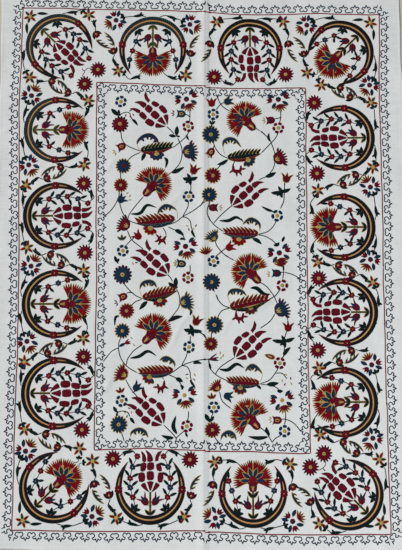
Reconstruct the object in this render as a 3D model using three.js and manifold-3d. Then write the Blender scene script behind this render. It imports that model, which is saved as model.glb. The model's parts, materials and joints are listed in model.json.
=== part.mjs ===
// A suzani: two loom-width panels of white cotton, joined by a felled seam down the middle, turned to a
// narrow hem on the outside edges and worked with crescents, carnations and tulips in raised chain stitch.
// It lies face up on z = 0. X runs across it, Y along it. Sizes are in millimetres, angles in degrees.
import * as THREE from "three";
import { mergeVertices } from "three/addons/utils/BufferGeometryUtils.js";
import Module from "manifold-3d";

// The cloth
const WIDE = 1610; // between the two side hems
const LONG = 2190; // from the foot hem to the head hem
const THICK = 1.4; // cotton and its backing threads
const SKEW = 0.0146; // the cross threads run downhill to the right by this much
const HEM = { wide: 9, rise: 0.5 };
const SEAM = { headX: 17, footX: 12, fell: 12, rise: 0.7, gap: 0.3 };
const EDGE = { step: 110, waves: [[2.2, 610], [1.3, 233]] }; // how the edges wander: size and length of each wave
const RELIEF = 0.8; // how far the stitched forms stand above the cotton
const SUNK = 0.4; // how deep a raised form reaches into the cotton it is joined to

// The cloth was folded in four along its length, which leaves these lines across it.
const CREASES = [
  { y: 575, rise: 0.4, half: 8, drift: 5, kind: "trough" },
  { y: -2, rise: 0.5, half: 9, drift: 4, kind: "ridge" },
  { y: -538, rise: 0.4, half: 8, drift: 6, kind: "trough" },
];

// A crescent: a band that is thickest behind and runs out into two horns
const CRESCENT = { radius: 134, back: 35, clasp: 26, hornAt: 142, steps: 20 };
const CLASP = { radius: 13, seat: 121, petals: 6 };

// One crescent to a row: its centre, the way it opens, its size and the angle of its clasps from its back, then
// the bloom that it holds, where that bloom's foot is along the way that it opens, and the bloom's size
const CRESCENTS = [
  { x: -574, y: 869, opens: -45, size: 1, claspAt: 84, bloom: "tulip", seat: -29, grown: 0.95 },
  { x: -197, y: 864, opens: -90, size: 1.02, claspAt: 82, bloom: "carnation", seat: -6, grown: 0.96 },
  { x: 195, y: 866, opens: -90, size: 0.98, claspAt: 86, bloom: "tulip", seat: -22, grown: 0.95 },
  { x: 562, y: 864, opens: -135, size: 1, claspAt: 85, bloom: "carnation", seat: 0, grown: 1 },
  { x: -575, y: 525, opens: 0, size: 1, claspAt: 86, bloom: "carnation", seat: 6, grown: 0.97 },
  { x: -571, y: 180, opens: 0, size: 1, claspAt: 87, bloom: "tulip", seat: -24, grown: 1 },
  { x: -569, y: -166, opens: 0, size: 1, claspAt: 87, bloom: "carnation", seat: 13, grown: 1 },
  { x: -560, y: -509, opens: 0, size: 1.04, claspAt: 84, bloom: "tulip", seat: -33, grown: 1.04 },
  { x: -564, y: -865, opens: 45, size: 1, claspAt: 85, bloom: "carnation", seat: 2, grown: 0.97 },
  { x: -197, y: -865, opens: 90, size: 1, claspAt: 89, bloom: "tulip", seat: -20, grown: 1 },
  { x: 195, y: -876, opens: 90, size: 0.98, claspAt: 89, bloom: "carnation", seat: 3, grown: 0.96 },
  { x: 563, y: -879, opens: 135, size: 1, claspAt: 85, bloom: "tulip", seat: -34, grown: 1 },
  { x: 559, y: 512, opens: 180, size: 1, claspAt: 84, bloom: "tulip", seat: -32, grown: 0.97 },
  { x: 555, y: 153, opens: 180, size: 1, claspAt: 86, bloom: "carnation", seat: 3, grown: 1 },
  { x: 557, y: -182, opens: 180, size: 1, claspAt: 86, bloom: "tulip", seat: -36, grown: 1 },
  { x: 548, y: -529, opens: 180, size: 1.01, claspAt: 87, bloom: "carnation", seat: -5, grown: 1 },
];

// The large blooms of the middle field: the foot of each and the way it grows. A tulip's first column of segments
// leans out; turned is -1 where that column is on its right.
const FIELD = [
  { x: -140, y: 550, grows: 137, bloom: "tulip", turned: 1 },
  { x: -228, y: 266, grows: 50, bloom: "carnation", turned: 1 },
  { x: -132, y: -45, grows: 137, bloom: "tulip", turned: 1 },
  { x: -227, y: -313, grows: 48, bloom: "carnation", turned: 1 },
  { x: -149, y: -622, grows: 134, bloom: "tulip", turned: 1 },
  { x: 211, y: 539, grows: 133, bloom: "carnation", turned: 1 },
  { x: 119, y: 229, grows: 44, bloom: "tulip", turned: -1 },
  { x: 227, y: -72, grows: 132, bloom: "carnation", turned: 1 },
  { x: 129, y: -365, grows: 46, bloom: "tulip", turned: -1 },
  { x: 220, y: -635, grows: 131, bloom: "carnation", turned: 1 },
];
const FIELD_LEAN = 0.12;
const FIELD_TULIP_FOOT = -7;
const FIELD_FAN = { fanAt: 56, radius: 76, notch: 66 };

// A carnation, from the foot of its calyx up: calyx, then a fan of toothed petals round the calyx mouth
const CARNATION = {
  fanAt: 46,
  radius: 82,
  notch: 70,
  waist: 13,
  calyx: { foot: 7, mouth: 16, long: 44 },
  petals: [[-113, -87], [-82, -46], [-44, -1], [1, 44], [46, 82], [87, 113]],
  teeth: 4,
};

// A tulip, from its foot up. Each segment is a closed run of points: x across, y along.
const TULIP = [
  [[-2, 2], [-12, 2], [-27, 12], [-39, 26], [-20, 33], [-12, 18]],
  [[0, 3], [9, 22], [11, 40], [-10, 40], [-8, 22]],
  [[6, 2], [16, 4], [31, 14], [43, 27], [27, 35], [15, 20]],
  [[-41, 41], [-24, 43], [-23, 73], [-43, 72]],
  [[-10, 46], [12, 46], [13, 76], [-12, 75]],
  [[33, 38], [51, 39], [53, 68], [31, 70]],
  [[-38, 79], [-22, 80], [-16, 108], [-34, 109]],
  [[-11, 83], [13, 85], [13, 110], [-10, 109]],
  [[29, 76], [47, 78], [43, 105], [25, 102]],
  [[-28, 118], [-14, 118], [-16, 134], [-31, 157], [-27, 138]],
  [[-8, 118], [11, 118], [9, 139], [-19, 160], [-7, 144]],
  [[22, 117], [33, 118], [31, 138], [38, 162], [24, 142]],
];

const wasm = await Module();
wasm.setup();

const radians = THREE.MathUtils.degToRad;

// A place on the skewed cloth
function lay(x, y) {
  return [x, y - SKEW * x];
}

// A solid for cutting and joining, from a closed geometry
function solidOf(geometry) {
  geometry.deleteAttribute("normal");
  geometry.deleteAttribute("uv");
  const merged = mergeVertices(geometry, 1e-4);
  return new wasm.Manifold(
    new wasm.Mesh({
      numProp: 3,
      vertProperties: merged.attributes.position.array,
      triVerts: new Uint32Array(merged.index.array),
    }),
  );
}

// An upright prism on a run of [x, y] points, from one height to another
function prism(points, low, high) {
  const shape = new THREE.Shape(points.map(([x, y]) => new THREE.Vector2(x, y)));
  const geometry = new THREE.ExtrudeGeometry(shape, { depth: high - low, bevelEnabled: false });
  geometry.translate(0, 0, low);
  return solidOf(geometry);
}

// A long soft fold line with sloping sides, which is added as a ridge or cut as a trough
function foldLine(points, half, rise) {
  const crown = 1;
  const near = points.map(([x, y]) => new THREE.Vector2(x, y - crown));
  const far = points.map(([x, y]) => new THREE.Vector2(x, y + crown)).reverse();
  const geometry = new THREE.ExtrudeGeometry(new THREE.Shape([...near, ...far]), {
    depth: 0.05,
    bevelEnabled: true,
    bevelThickness: rise,
    bevelSize: half - crown,
    bevelSegments: 1,
  });
  geometry.translate(0, 0, THICK);
  return solidOf(geometry);
}

// How far an edge stands out from its straight line at a place along it
function wander(along, phase) {
  return EDGE.waves.reduce((sum, [size, length]) => sum + size * Math.sin((2 * Math.PI * along) / length + phase), 0);
}

// The cloth's outline, drawn in by inset, anticlockwise from the foot's left corner
function outline(inset) {
  const halfX = WIDE / 2 - inset;
  const halfY = LONG / 2 - inset;
  const across = Math.round(WIDE / EDGE.step);
  const down = Math.round(LONG / EDGE.step);
  const points = [];
  for (let i = 0; i < across; i += 1) {
    const x = -halfX + (2 * halfX * i) / across;
    points.push(lay(x, -halfY - wander(x, 0)));
  }
  for (let i = 0; i < down; i += 1) {
    const y = -halfY + (2 * halfY * i) / down;
    points.push(lay(halfX + wander(y, 1), y));
  }
  for (let i = 0; i < across; i += 1) {
    const x = halfX - (2 * halfX * i) / across;
    points.push(lay(x, halfY + wander(x, 2)));
  }
  for (let i = 0; i < down; i += 1) {
    const y = halfY - (2 * halfY * i) / down;
    points.push(lay(-halfX - wander(y, 3), y));
  }
  return points;
}

// A function that turns a motif's own [across, along] into a place on the cloth
function placed(x, y, degrees) {
  const turn = radians(degrees - 90);
  const [homeX, homeY] = lay(x, y);
  return ([across, along]) => [
    homeX + across * Math.cos(turn) - along * Math.sin(turn),
    homeY + across * Math.sin(turn) + along * Math.cos(turn),
  ];
}

// A point at an angle from straight ahead, anticlockwise, on a motif's own axes
function polar(radius, degrees) {
  return [-radius * Math.sin(radians(degrees)), radius * Math.cos(radians(degrees))];
}

// How wide the crescent's band is at an angle from the middle of its back
function bandWidth(angle, claspAt) {
  const { back, clasp, hornAt } = CRESCENT;
  const a = Math.abs(angle);
  if (a <= claspAt) {
    return back - (back - clasp) * (a / claspAt) ** 2;
  }
  return clasp * (1 - ((a - claspAt) / (hornAt - claspAt)) ** 1.6);
}

// The crescent's band, as a run of points about its centre, and its two clasp flowers
function crescentRuns({ size, claspAt }) {
  const { radius, hornAt, steps } = CRESCENT;
  const outer = [];
  const inner = [];
  for (let i = 0; i <= steps; i += 1) {
    const angle = -hornAt + (2 * hornAt * i) / steps;
    outer.push(polar(radius, angle + 180));
    if (i > 0 && i < steps) {
      inner.push(polar(radius - bandWidth(angle, claspAt), angle + 180));
    }
  }
  const clasps = [-1, 1].map((side) => {
    const [x, y] = polar(CLASP.seat, 180 + side * claspAt);
    const petals = 2 * CLASP.petals;
    return Array.from({ length: petals }, (_, i) => {
      const reach = i % 2 === 0 ? CLASP.radius : 0.8 * CLASP.radius;
      const [dx, dy] = polar(reach, (360 * i) / petals);
      return [x + dx, y + dy];
    });
  });
  return [[...outer, ...inner.reverse()], ...clasps].map((run) => run.map(([x, y]) => [size * x, size * y]));
}

// A carnation's petals and calyx, as runs of points from the foot of the calyx
function carnationRuns(fanShape) {
  const { fanAt, radius, notch, waist, calyx, petals, teeth } = { ...CARNATION, ...fanShape };
  const above = ([x, y]) => [x, y + fanAt];
  const fan = petals.map(([from, to]) => {
    const run = [above(polar(waist, (from + to) / 2))];
    for (let i = 0; i <= 2 * teeth; i += 1) {
      const reach = i % 2 === 0 ? notch : radius;
      run.push(above(polar(reach, from + ((to - from) * i) / (2 * teeth))));
    }
    return run;
  });
  const bell = [
    [-calyx.foot, 2],
    [calyx.foot, 2],
    [calyx.mouth, 0.6 * calyx.long],
    [calyx.mouth, calyx.long],
    [0, 0.8 * calyx.long],
    [-calyx.mouth, calyx.long],
    [-calyx.mouth, 0.6 * calyx.long],
  ];
  return [...fan, bell];
}

// Runs are turned anticlockwise, as a shape needs.
function anticlockwise(run) {
  return THREE.ShapeUtils.area(run.map(([x, y]) => ({ x, y }))) < 0 ? [...run].reverse() : run;
}

// A motif's runs, raised on the cloth where place puts them
function raised(runs, place) {
  return runs.map((run) => prism(anticlockwise(run.map(place)), THICK - SUNK, THICK + RELIEF));
}

// A field tulip's runs, its first column leaning out
function leaningTulip(turned) {
  return TULIP.map((run) => {
    const leans = run.every(([x]) => x < -14);
    return run.map(([x, y]) => [turned * (leans ? x - FIELD_LEAN * Math.max(0, y - 30) : x), y + FIELD_TULIP_FOOT]);
  });
}

function stitchedForms() {
  const forms = [];
  const bloomRuns = { tulip: TULIP, carnation: carnationRuns({}) };
  for (const crescent of CRESCENTS) {
    const { x, y, opens, bloom, seat, grown } = crescent;
    const place = placed(x, y, opens);
    const inside = ([across, along]) => place([grown * across, seat + grown * along]);
    forms.push(...raised(crescentRuns(crescent), place), ...raised(bloomRuns[bloom], inside));
  }
  for (const { x, y, grows, bloom, turned } of FIELD) {
    const runs = bloom === "tulip" ? leaningTulip(turned) : carnationRuns(FIELD_FAN);
    forms.push(...raised(runs, placed(x, y, grows)));
  }
  return forms;
}

// The seam's line, moved sideways, from below the foot to above the head
function seamLine(shift) {
  const past = 40;
  const end = LONG / 2 + past;
  const slope = (SEAM.headX - SEAM.footX) / LONG;
  const at = (y) => SEAM.footX + slope * (y + LONG / 2) + shift;
  return [[at(-end), -end], [at(end), end]];
}

// Everything to one side of the seam, as a tall block that cuts a panel from the whole
function sideOfSeam(side) {
  const far = side * WIDE;
  const [foot, head] = seamLine((side * SEAM.gap) / 2);
  const points = [foot, [far, foot[1]], [far, head[1]], head];
  return prism(anticlockwise(points), -THICK, 4 * THICK);
}

function wholeCloth() {
  const base = prism(outline(0), 0, THICK);
  const rim = prism(outline(0), THICK - SUNK, THICK + HEM.rise).subtract(prism(outline(HEM.wide), 0, 3 * THICK));
  const fell = prism(
    anticlockwise([...seamLine(0), ...seamLine(SEAM.fell).reverse()]),
    THICK - SUNK,
    THICK + SEAM.rise,
  ).intersect(prism(outline(0), 0, 3 * THICK));
  let cloth = base.add(rim).add(fell);
  for (const { y, rise, half, drift, kind } of CREASES) {
    const ends = WIDE / 2 - HEM.wide - half;
    const stations = [-1, -0.62, -0.2, 0.27, 0.66, 1];
    const points = stations.map((s, i) => lay(s * ends, y + drift * Math.sin(2.1 * i + y)));
    const line = foldLine(points, half, rise);
    cloth = kind === "ridge" ? cloth.add(line) : cloth.subtract(line);
  }
  return stitchedForms().reduce((sum, form) => sum.add(form), cloth);
}

// A named mesh of a finished solid
function meshOf(name, solid, material) {
  const { vertProperties, triVerts } = solid.getMesh();
  const geometry = new THREE.BufferGeometry();
  geometry.setAttribute("position", new THREE.BufferAttribute(vertProperties, 3));
  geometry.setIndex(new THREE.BufferAttribute(triVerts, 1));
  geometry.computeVertexNormals();
  const mesh = new THREE.Mesh(geometry, material);
  mesh.name = name;
  return mesh;
}

const cotton = new THREE.MeshStandardMaterial({ color: 0xdadcda, roughness: 0.92, metalness: 0 });
const cloth = wholeCloth();
const { min, max } = cloth.boundingBox();
const suzani = new THREE.Group();
suzani.position.set(-(min[0] + max[0]) / 2, -(min[1] + max[1]) / 2, 0); // the origin is the middle of the cloth
suzani.add(meshOf("panel_left", cloth.intersect(sideOfSeam(-1)), cotton));
suzani.add(meshOf("panel_right", cloth.intersect(sideOfSeam(1)), cotton));

export default suzani;
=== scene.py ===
"""A suzani laid flat: two panels of white cotton worked in chain stitch, with floor, lights and camera."""

import json
import math
from collections import namedtuple

import bpy
import numpy as np
from bpy.props import FloatProperty, FloatVectorProperty, PointerProperty
from mathutils import Euler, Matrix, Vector

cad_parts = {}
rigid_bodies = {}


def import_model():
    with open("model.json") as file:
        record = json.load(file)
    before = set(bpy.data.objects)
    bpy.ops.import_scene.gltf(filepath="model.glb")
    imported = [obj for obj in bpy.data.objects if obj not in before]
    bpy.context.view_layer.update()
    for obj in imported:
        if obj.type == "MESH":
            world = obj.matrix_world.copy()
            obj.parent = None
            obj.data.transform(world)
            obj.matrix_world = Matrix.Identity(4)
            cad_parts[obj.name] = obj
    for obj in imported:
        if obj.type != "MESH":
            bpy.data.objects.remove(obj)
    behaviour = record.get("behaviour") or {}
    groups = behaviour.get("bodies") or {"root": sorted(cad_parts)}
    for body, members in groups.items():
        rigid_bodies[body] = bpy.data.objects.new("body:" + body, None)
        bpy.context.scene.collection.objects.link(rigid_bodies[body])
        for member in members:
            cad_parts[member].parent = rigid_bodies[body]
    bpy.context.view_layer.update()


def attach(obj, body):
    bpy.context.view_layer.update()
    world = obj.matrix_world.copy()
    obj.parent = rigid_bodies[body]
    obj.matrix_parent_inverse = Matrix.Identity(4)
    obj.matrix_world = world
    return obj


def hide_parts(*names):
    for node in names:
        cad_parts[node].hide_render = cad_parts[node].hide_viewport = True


bl_info = {
    "name": "Suzani",
    "version": (1, 0, 0),
    "blender": (4, 5, 0),
    "location": "3D View > Sidebar > Suzani",
    "description": "Makes a seamed cotton suzani with its chain-stitched crescents, blooms and borders",
    "category": "Add Mesh",
}

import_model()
MM = 0.001

# The cloth, in millimetres. X runs across it, Y along it, and z = 0 is the surface that it lies on.
WIDE = 1610
LONG = 2190
SKEW = 0.0146  # the cross threads run downhill to the right by this much
HEM_WIDE = 9
HEM_RISE = 0.45
SEAM_HEAD_X = 17
SEAM_FOOT_X = 12
SEAM_GAP = 0.3
FELL_WIDE = 12
FELL_RISE = 0.5
EDGE_WAVES = ((2.2, 610), (1.3, 233))  # how the cut edges wander: size and length of each wave

# The lines across the cloth where it was folded away, up or down: height is negative in a trough
Crease = namedtuple("Crease", "y height half drift")
CREASE_SWING = 130
CREASES = (
    Crease(y=575, height=-0.45, half=9, drift=5),
    Crease(y=-2, height=0.55, half=10, drift=4),
    Crease(y=-538, height=-0.45, half=9, drift=6),
)

# Short soft ridges in the loose cloth, from place to place: how high each stands and how far it spreads
Fold = namedtuple("Fold", "height half places")
FOLDS = (
    Fold(1.5, 15, ((-380, 500), (-328, 556), (-256, 588))),
    Fold(1.5, 14, ((-390, 350), (-341, 425))),
    Fold(1.6, 15, ((-130, -345), (-84, -246), (-25, -165))),
    Fold(1.6, 15, ((-382, -508), (-345, -432))),
    Fold(1.1, 13, ((-380, -375), (-280, -306))),
    Fold(1.6, 16, ((-210, -512), (-100, -455))),
    Fold(1.7, 17, ((70, -300), (125, -206), (239, -163), (300, -103), (380, -50))),
    Fold(0.9, 11, ((196, 575), (226, 498))),
    Fold(0.8, 10, ((226, 582), (250, 506))),
    Fold(0.8, 11, ((40, 34), (145, 32))),
    Fold(0.8, 10, ((235, -222), (385, -232))),
    Fold(0.8, 10, ((155, -467), (292, -494))),
    Fold(0.7, 10, ((348, 28), (402, 46))),
    Fold(0.8, 12, ((636, 684), (684, 640))),
    Fold(0.7, 9, ((745, 612), (800, 618))),
    Fold(0.8, 10, ((-800, 518), (-762, 538))),
    Fold(0.7, 9, ((-800, 362), (-762, 355))),
    Fold(0.7, 9, ((660, -236), (738, -228))),
    Fold(0.9, 13, ((-378, -18), (-372, -150))),
    Fold(0.9, 9, ((42, -70), (44, -165))),
    Fold(0.7, 8, ((58, -80), (62, -150))),
    Fold(0.8, 9, ((44, 470), (47, 380))),
    Fold(0.8, 9, ((38, -545), (40, -640))),
    Fold(0.8, 9, ((46, 700), (48, 610))),
    Fold(0.9, 12, ((-70, 60), (-30, 130))),
    Fold(1.0, 13, ((-140, 215), (-60, 300))),
    Fold(0.9, 12, ((250, 160), (330, 250))),
    Fold(0.9, 12, ((-330, 120), (-270, 200))),
)

FOLD_FULL = 1.6  # how much fuller the ridges are than their heights
FOLD_FADE = 0.3  # the share of a ridge that it takes to rise at each end

# Slow rises of the loose cloth off the floor, in all directions
WAVES = 18
WAVE_LONG = (48, 250)
WAVE_STEEP = 0.0020  # the size of each for its length
WAVE_MEAN = 1.6
WAVE_SOFT = 0.4  # how gently the cloth comes down to the floor
WAVE_DROP = 0.02

# The ridge along the seam: where its crest is, how far it spreads to each side, how high it is and how uneven
SEAM_CREST = -9
SEAM_SPREAD = (30, 27)
SEAM_RISE = (3.3, 0.9)
SEAM_UNEVEN = (71, 187)
# Painted shade and soil: a strip right of the seam is painted darker where the seam ridge slopes away from
# the lamp
SEAM_SHADE_AND_SOIL = (-7, 20)  # the dull strip beside the seam
SEAM_DIP = 0.4  # how far its stitching draws the cloth in, and where
DIP_AT = -2.5
DIP_HALF = 4.5

STITCH_BRIDGE = (-4.5, -2, 0, 2, 4.5)  # how far to each side a stitch feels the cotton under it
SINK = 0.3  # how far the rim of a stitched shape goes into the cotton


def smoothstep(t):
    t = np.clip(t, 0, 1)
    return t * t * (3 - 2 * t)


def bump_at(distance, half):
    """1 at a line, falling softly to 0 at half its width."""
    return 1 - smoothstep(np.abs(distance) / half)


def wander(along, phase):
    return sum(size * np.sin(2 * np.pi * along / length + phase) for size, length in EDGE_WAVES)


def seam_x(y):
    return SEAM_FOOT_X + (SEAM_HEAD_X - SEAM_FOOT_X) * (y + LONG / 2) / LONG


def wave_rise(x, y):
    """The slow rises of the cloth, which lies on the floor wherever they would take it lower."""
    chance = np.random.default_rng(11)
    rise = 0
    for _ in range(WAVES):
        long = chance.uniform(*WAVE_LONG)
        turn, start = chance.uniform(0, 2 * np.pi, 2)
        run = x * math.cos(turn) + y * math.sin(turn)
        rise = rise + WAVE_STEEP * long * np.sin(2 * np.pi * run / long + start)
    rise = rise + WAVE_MEAN
    return 0.5 * (rise + np.hypot(rise, WAVE_SOFT)) - WAVE_DROP


def fold_rise(x, y):
    """The short soft ridges: each rises by how near a place is to its line, and fades at the line's ends."""
    rise = np.zeros(np.shape(x))
    for fold in FOLDS:
        places = smooth(fold.places, 4)
        along = lengths(places)
        low, high = places.min(axis=0) - fold.half, places.max(axis=0) + fold.half
        near = (x > low[0]) & (x < high[0]) & (y > low[1]) & (y < high[1])
        px, py = x[near], y[near]
        best = np.full(px.shape, np.inf)
        at = np.zeros(px.shape)
        for start, end, before in zip(places[:-1], places[1:], along[:-1]):
            ahead = end - start
            share = np.clip(((px - start[0]) * ahead[0] + (py - start[1]) * ahead[1]) / (ahead @ ahead), 0, 1)
            away = np.hypot(px - start[0] - share * ahead[0], py - start[1] - share * ahead[1])
            at = np.where(away < best, before + share * np.linalg.norm(ahead), at)
            best = np.minimum(best, away)
        fade = smoothstep(np.minimum(at, along[-1] - at) / (FOLD_FADE * along[-1]))
        rise[near] = np.maximum(rise[near], FOLD_FULL * fold.height * bump_at(best, fold.half) * fade)
    return rise


def crease_rise(x, y, up):
    """What the lines across the cloth add: its ridges where up is true, and otherwise its troughs."""
    rise = 0
    for crease in CREASES:
        if (crease.height > 0) == up:
            line = crease.y + crease.drift * np.sin(x / CREASE_SWING + crease.y)
            rise = rise + crease.height * bump_at(y + SKEW * x - line, crease.half)
    return rise


def lift(x, y):
    """How far the cloth's underside stands off the floor at a place, never less than nothing."""
    past_crest = x - seam_x(y) - SEAM_CREST
    ridge = bump_at(past_crest, np.where(past_crest < 0, *SEAM_SPREAD))
    uneven = np.sin(y / SEAM_UNEVEN[0]) * np.sin(y / SEAM_UNEVEN[1] + 1)
    rise = wave_rise(x, y) + fold_rise(x, y) + crease_rise(x, y, True)
    return rise + ridge * (SEAM_RISE[0] + SEAM_RISE[1] * uneven)


def seam_step(x, y):
    """The flat fell on one side of the seam and the dip of its stitching."""
    past_seam = x - seam_x(y)
    fell = smoothstep((past_seam + 1) / 2.2) * smoothstep((FELL_WIDE + 1.5 - past_seam) / 2.5)
    return FELL_RISE * fell - SEAM_DIP * bump_at(past_seam - DIP_AT, DIP_HALF)


def cotton_top(x, y):
    """The height of the cotton's upper face at a place."""
    thick = bpy.context.scene.suzani_cloth.thick / MM
    top = lift(x, y) + thick + seam_step(x, y) + crease_rise(x, y, False)
    inside = np.minimum(WIDE / 2 - np.abs(x), LONG / 2 - np.abs(y + SKEW * x))
    return top + HEM_RISE * smoothstep((HEM_WIDE + 1 - inside) / 2)


def stitch_bed(x, y):
    """The height that stitches lie at, which bridges the step and dip of the seam under them."""
    bridge = np.max([seam_step(x + near, y) for near in STITCH_BRIDGE], axis=0)
    return cotton_top(x, y) - seam_step(x, y) + bridge


# Settings that a user would change


def colour(name, description, value):
    return FloatVectorProperty(
        name=name, description=description, subtype="COLOR", size=3, min=0, max=1, default=value
    )


class SuzaniCloth(bpy.types.PropertyGroup):
    thick: FloatProperty(
        name="Thickness", description="Thickness of the cotton", default=1.4 * MM, unit="LENGTH"
    )
    cell: FloatProperty(
        name="Cell", description="Spacing of the cloth's mesh", default=8.5 * MM, unit="LENGTH"
    )
    white: colour("White", "The cotton's own colour", (0.686, 0.710, 0.708))
    slub: FloatProperty(name="Slub", description="How uneven the woven threads look", default=0.05)


class SuzaniThread(bpy.types.PropertyGroup):
    line: colour("Line", "The red lines of the borders", (0.20, 0.016, 0.028))
    crimson: colour("Crimson", "Tulips, rosettes and outlines", (0.114, 0.0032, 0.0125))
    red: colour("Red", "Carnations and star petals", (0.175, 0.002, 0.0075))
    navy: colour("Navy", "Petals and scrolls", (0.0085, 0.0255, 0.053))
    green: colour("Green", "Leaves and stems", (0.0028, 0.0125, 0.0118))
    teal: colour("Teal", "The pale ribs of the crescents", (0.022, 0.052, 0.056))
    olive: colour("Olive", "Stems in the crescents", (0.030, 0.050, 0.020))
    ochre: colour("Ochre", "Outlines, eyes and stripes", (0.42, 0.30, 0.095))
    stripe: colour("Stripe", "The stripe along each crescent", (0.52, 0.33, 0.13))
    tan: colour("Tan", "The ends of the crescents' stripes", (0.50, 0.24, 0.10))
    dark: colour("Dark", "Outlines of tulips and teeth of rosettes", (0.0035, 0.0075, 0.0095))


class SuzaniStage(bpy.types.PropertyGroup):
    floor: colour("Floor", "The plain floor", (0.56, 0.50, 0.44))
    soft: FloatProperty(name="Soft light", description="Strength of the light from all round", default=0.235)
    lamp: FloatProperty(name="Lamp", description="Strength of the large lamp", default=6500)
    focal: FloatProperty(
        name="Focal length", description="The camera's focal length in millimetres", default=31.42
    )


# Materials


class Value:
    """A socket's number, so that sums on it add their Math nodes."""

    def __init__(self, dye, socket):
        self.dye = dye
        self.socket = socket

    def math(self, operation, first, second):
        return self.dye.node("ShaderNodeMath", {"operation": operation}, {0: first, 1: second})

    def __add__(self, other):
        return self.math("ADD", self, other)

    def __radd__(self, other):
        return self.math("ADD", other, self)

    def __sub__(self, other):
        return self.math("SUBTRACT", self, other)

    def __rsub__(self, other):
        return self.math("SUBTRACT", other, self)

    def __mul__(self, other):
        return self.math("MULTIPLY", self, other)

    def __rmul__(self, other):
        return self.math("MULTIPLY", other, self)

    def __truediv__(self, other):
        return self.math("DIVIDE", self, other)


class Dye:
    """Adds nodes to one material and joins them to its surface."""

    def __init__(self, name):
        self.material = bpy.data.materials.new(name)
        self.material.use_nodes = True
        self.tree = self.material.node_tree
        self.surface = self.tree.nodes["Principled BSDF"]

    def node(self, kind, settings=None, sockets=None, out=0):
        """A node of a kind, with its settings and then its sockets' values or links. Gives one output."""
        made = self.tree.nodes.new(kind)
        for name, value in (settings or {}).items():
            setattr(made, name, value)
        for name, value in (sockets or {}).items():
            self.join(made.inputs[name], value)
        return Value(self, made.outputs[out])

    def join(self, socket, value):
        if isinstance(value, Value):
            self.tree.links.new(value.socket, socket)
        else:
            socket.default_value = value

    def split(self, vector):
        return [self.node("ShaderNodeSeparateXYZ", sockets={0: vector}, out=axis) for axis in range(3)]

    def mix(self, share, first, second, blend="MIX"):
        settings = {"data_type": "RGBA", "blend_type": blend}
        return self.node("ShaderNodeMix", settings, {0: share, 6: first, 7: second}, out=2)

    def ramp(self, share, low, high):
        """0 below low and 1 above high, with a soft rise between."""
        settings = {"interpolation_type": "SMOOTHSTEP"}
        return self.node("ShaderNodeMapRange", settings, {0: share, 1: low, 2: high, 3: 0.0, 4: 1.0})

    def one(self, operation, value):
        return self.node("ShaderNodeMath", {"operation": operation}, {0: value})

    def noise(self, place, scale, detail=2.0):
        return self.node("ShaderNodeTexNoise", sockets={"Vector": place, "Scale": scale, "Detail": detail})

    def shaded(self, colour, shade):
        """A colour made darker or lighter by a number."""
        grey = self.node("ShaderNodeCombineColor", sockets={0: shade, 1: shade, 2: shade})
        return self.mix(1.0, colour, grey, "MULTIPLY")

    def bump(self, strength, deep, height):
        return self.node("ShaderNodeBump", sockets={"Strength": strength, "Distance": deep, "Height": height})

    def finish(self, **sockets):
        for name, value in sockets.items():
            self.join(self.surface.inputs[name.replace("_", " ")], value)
        return self.material


def rgba(value):
    return (*value, 1.0)


Speck = namedtuple("Speck", "x y reach strength")
SPECKS = (
    Speck(x=764, y=262, reach=5, strength=0.45),
    Speck(x=775, y=82, reach=4, strength=0.4),
    Speck(x=776, y=60, reach=3, strength=0.3),
    Speck(x=-776, y=-152, reach=4, strength=0.35),
    Speck(x=-770, y=-120, reach=3, strength=0.25),
)
SPECK_BROWN = (0.36, 0.30, 0.22, 1.0)
WARP_PITCH = 0.8 * MM
WEFT_PITCH = 0.9 * MM
# Unevenness of the cotton, where the shadow and pucker noises are painted shade: how fine each is across and
# along the cloth, and where its noise starts
WARP_SLUB = (420, 9, 3)
WEFT_SLUB = (9, 380, 7)
SHADOW = (5, 5, 11)
MOTTLE = (38, 30, 5)
PUCKER = (16, 110, 17)
MARGIN = (0.745, 0.775)  # how far out the cloth is puckered by its hems


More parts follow.
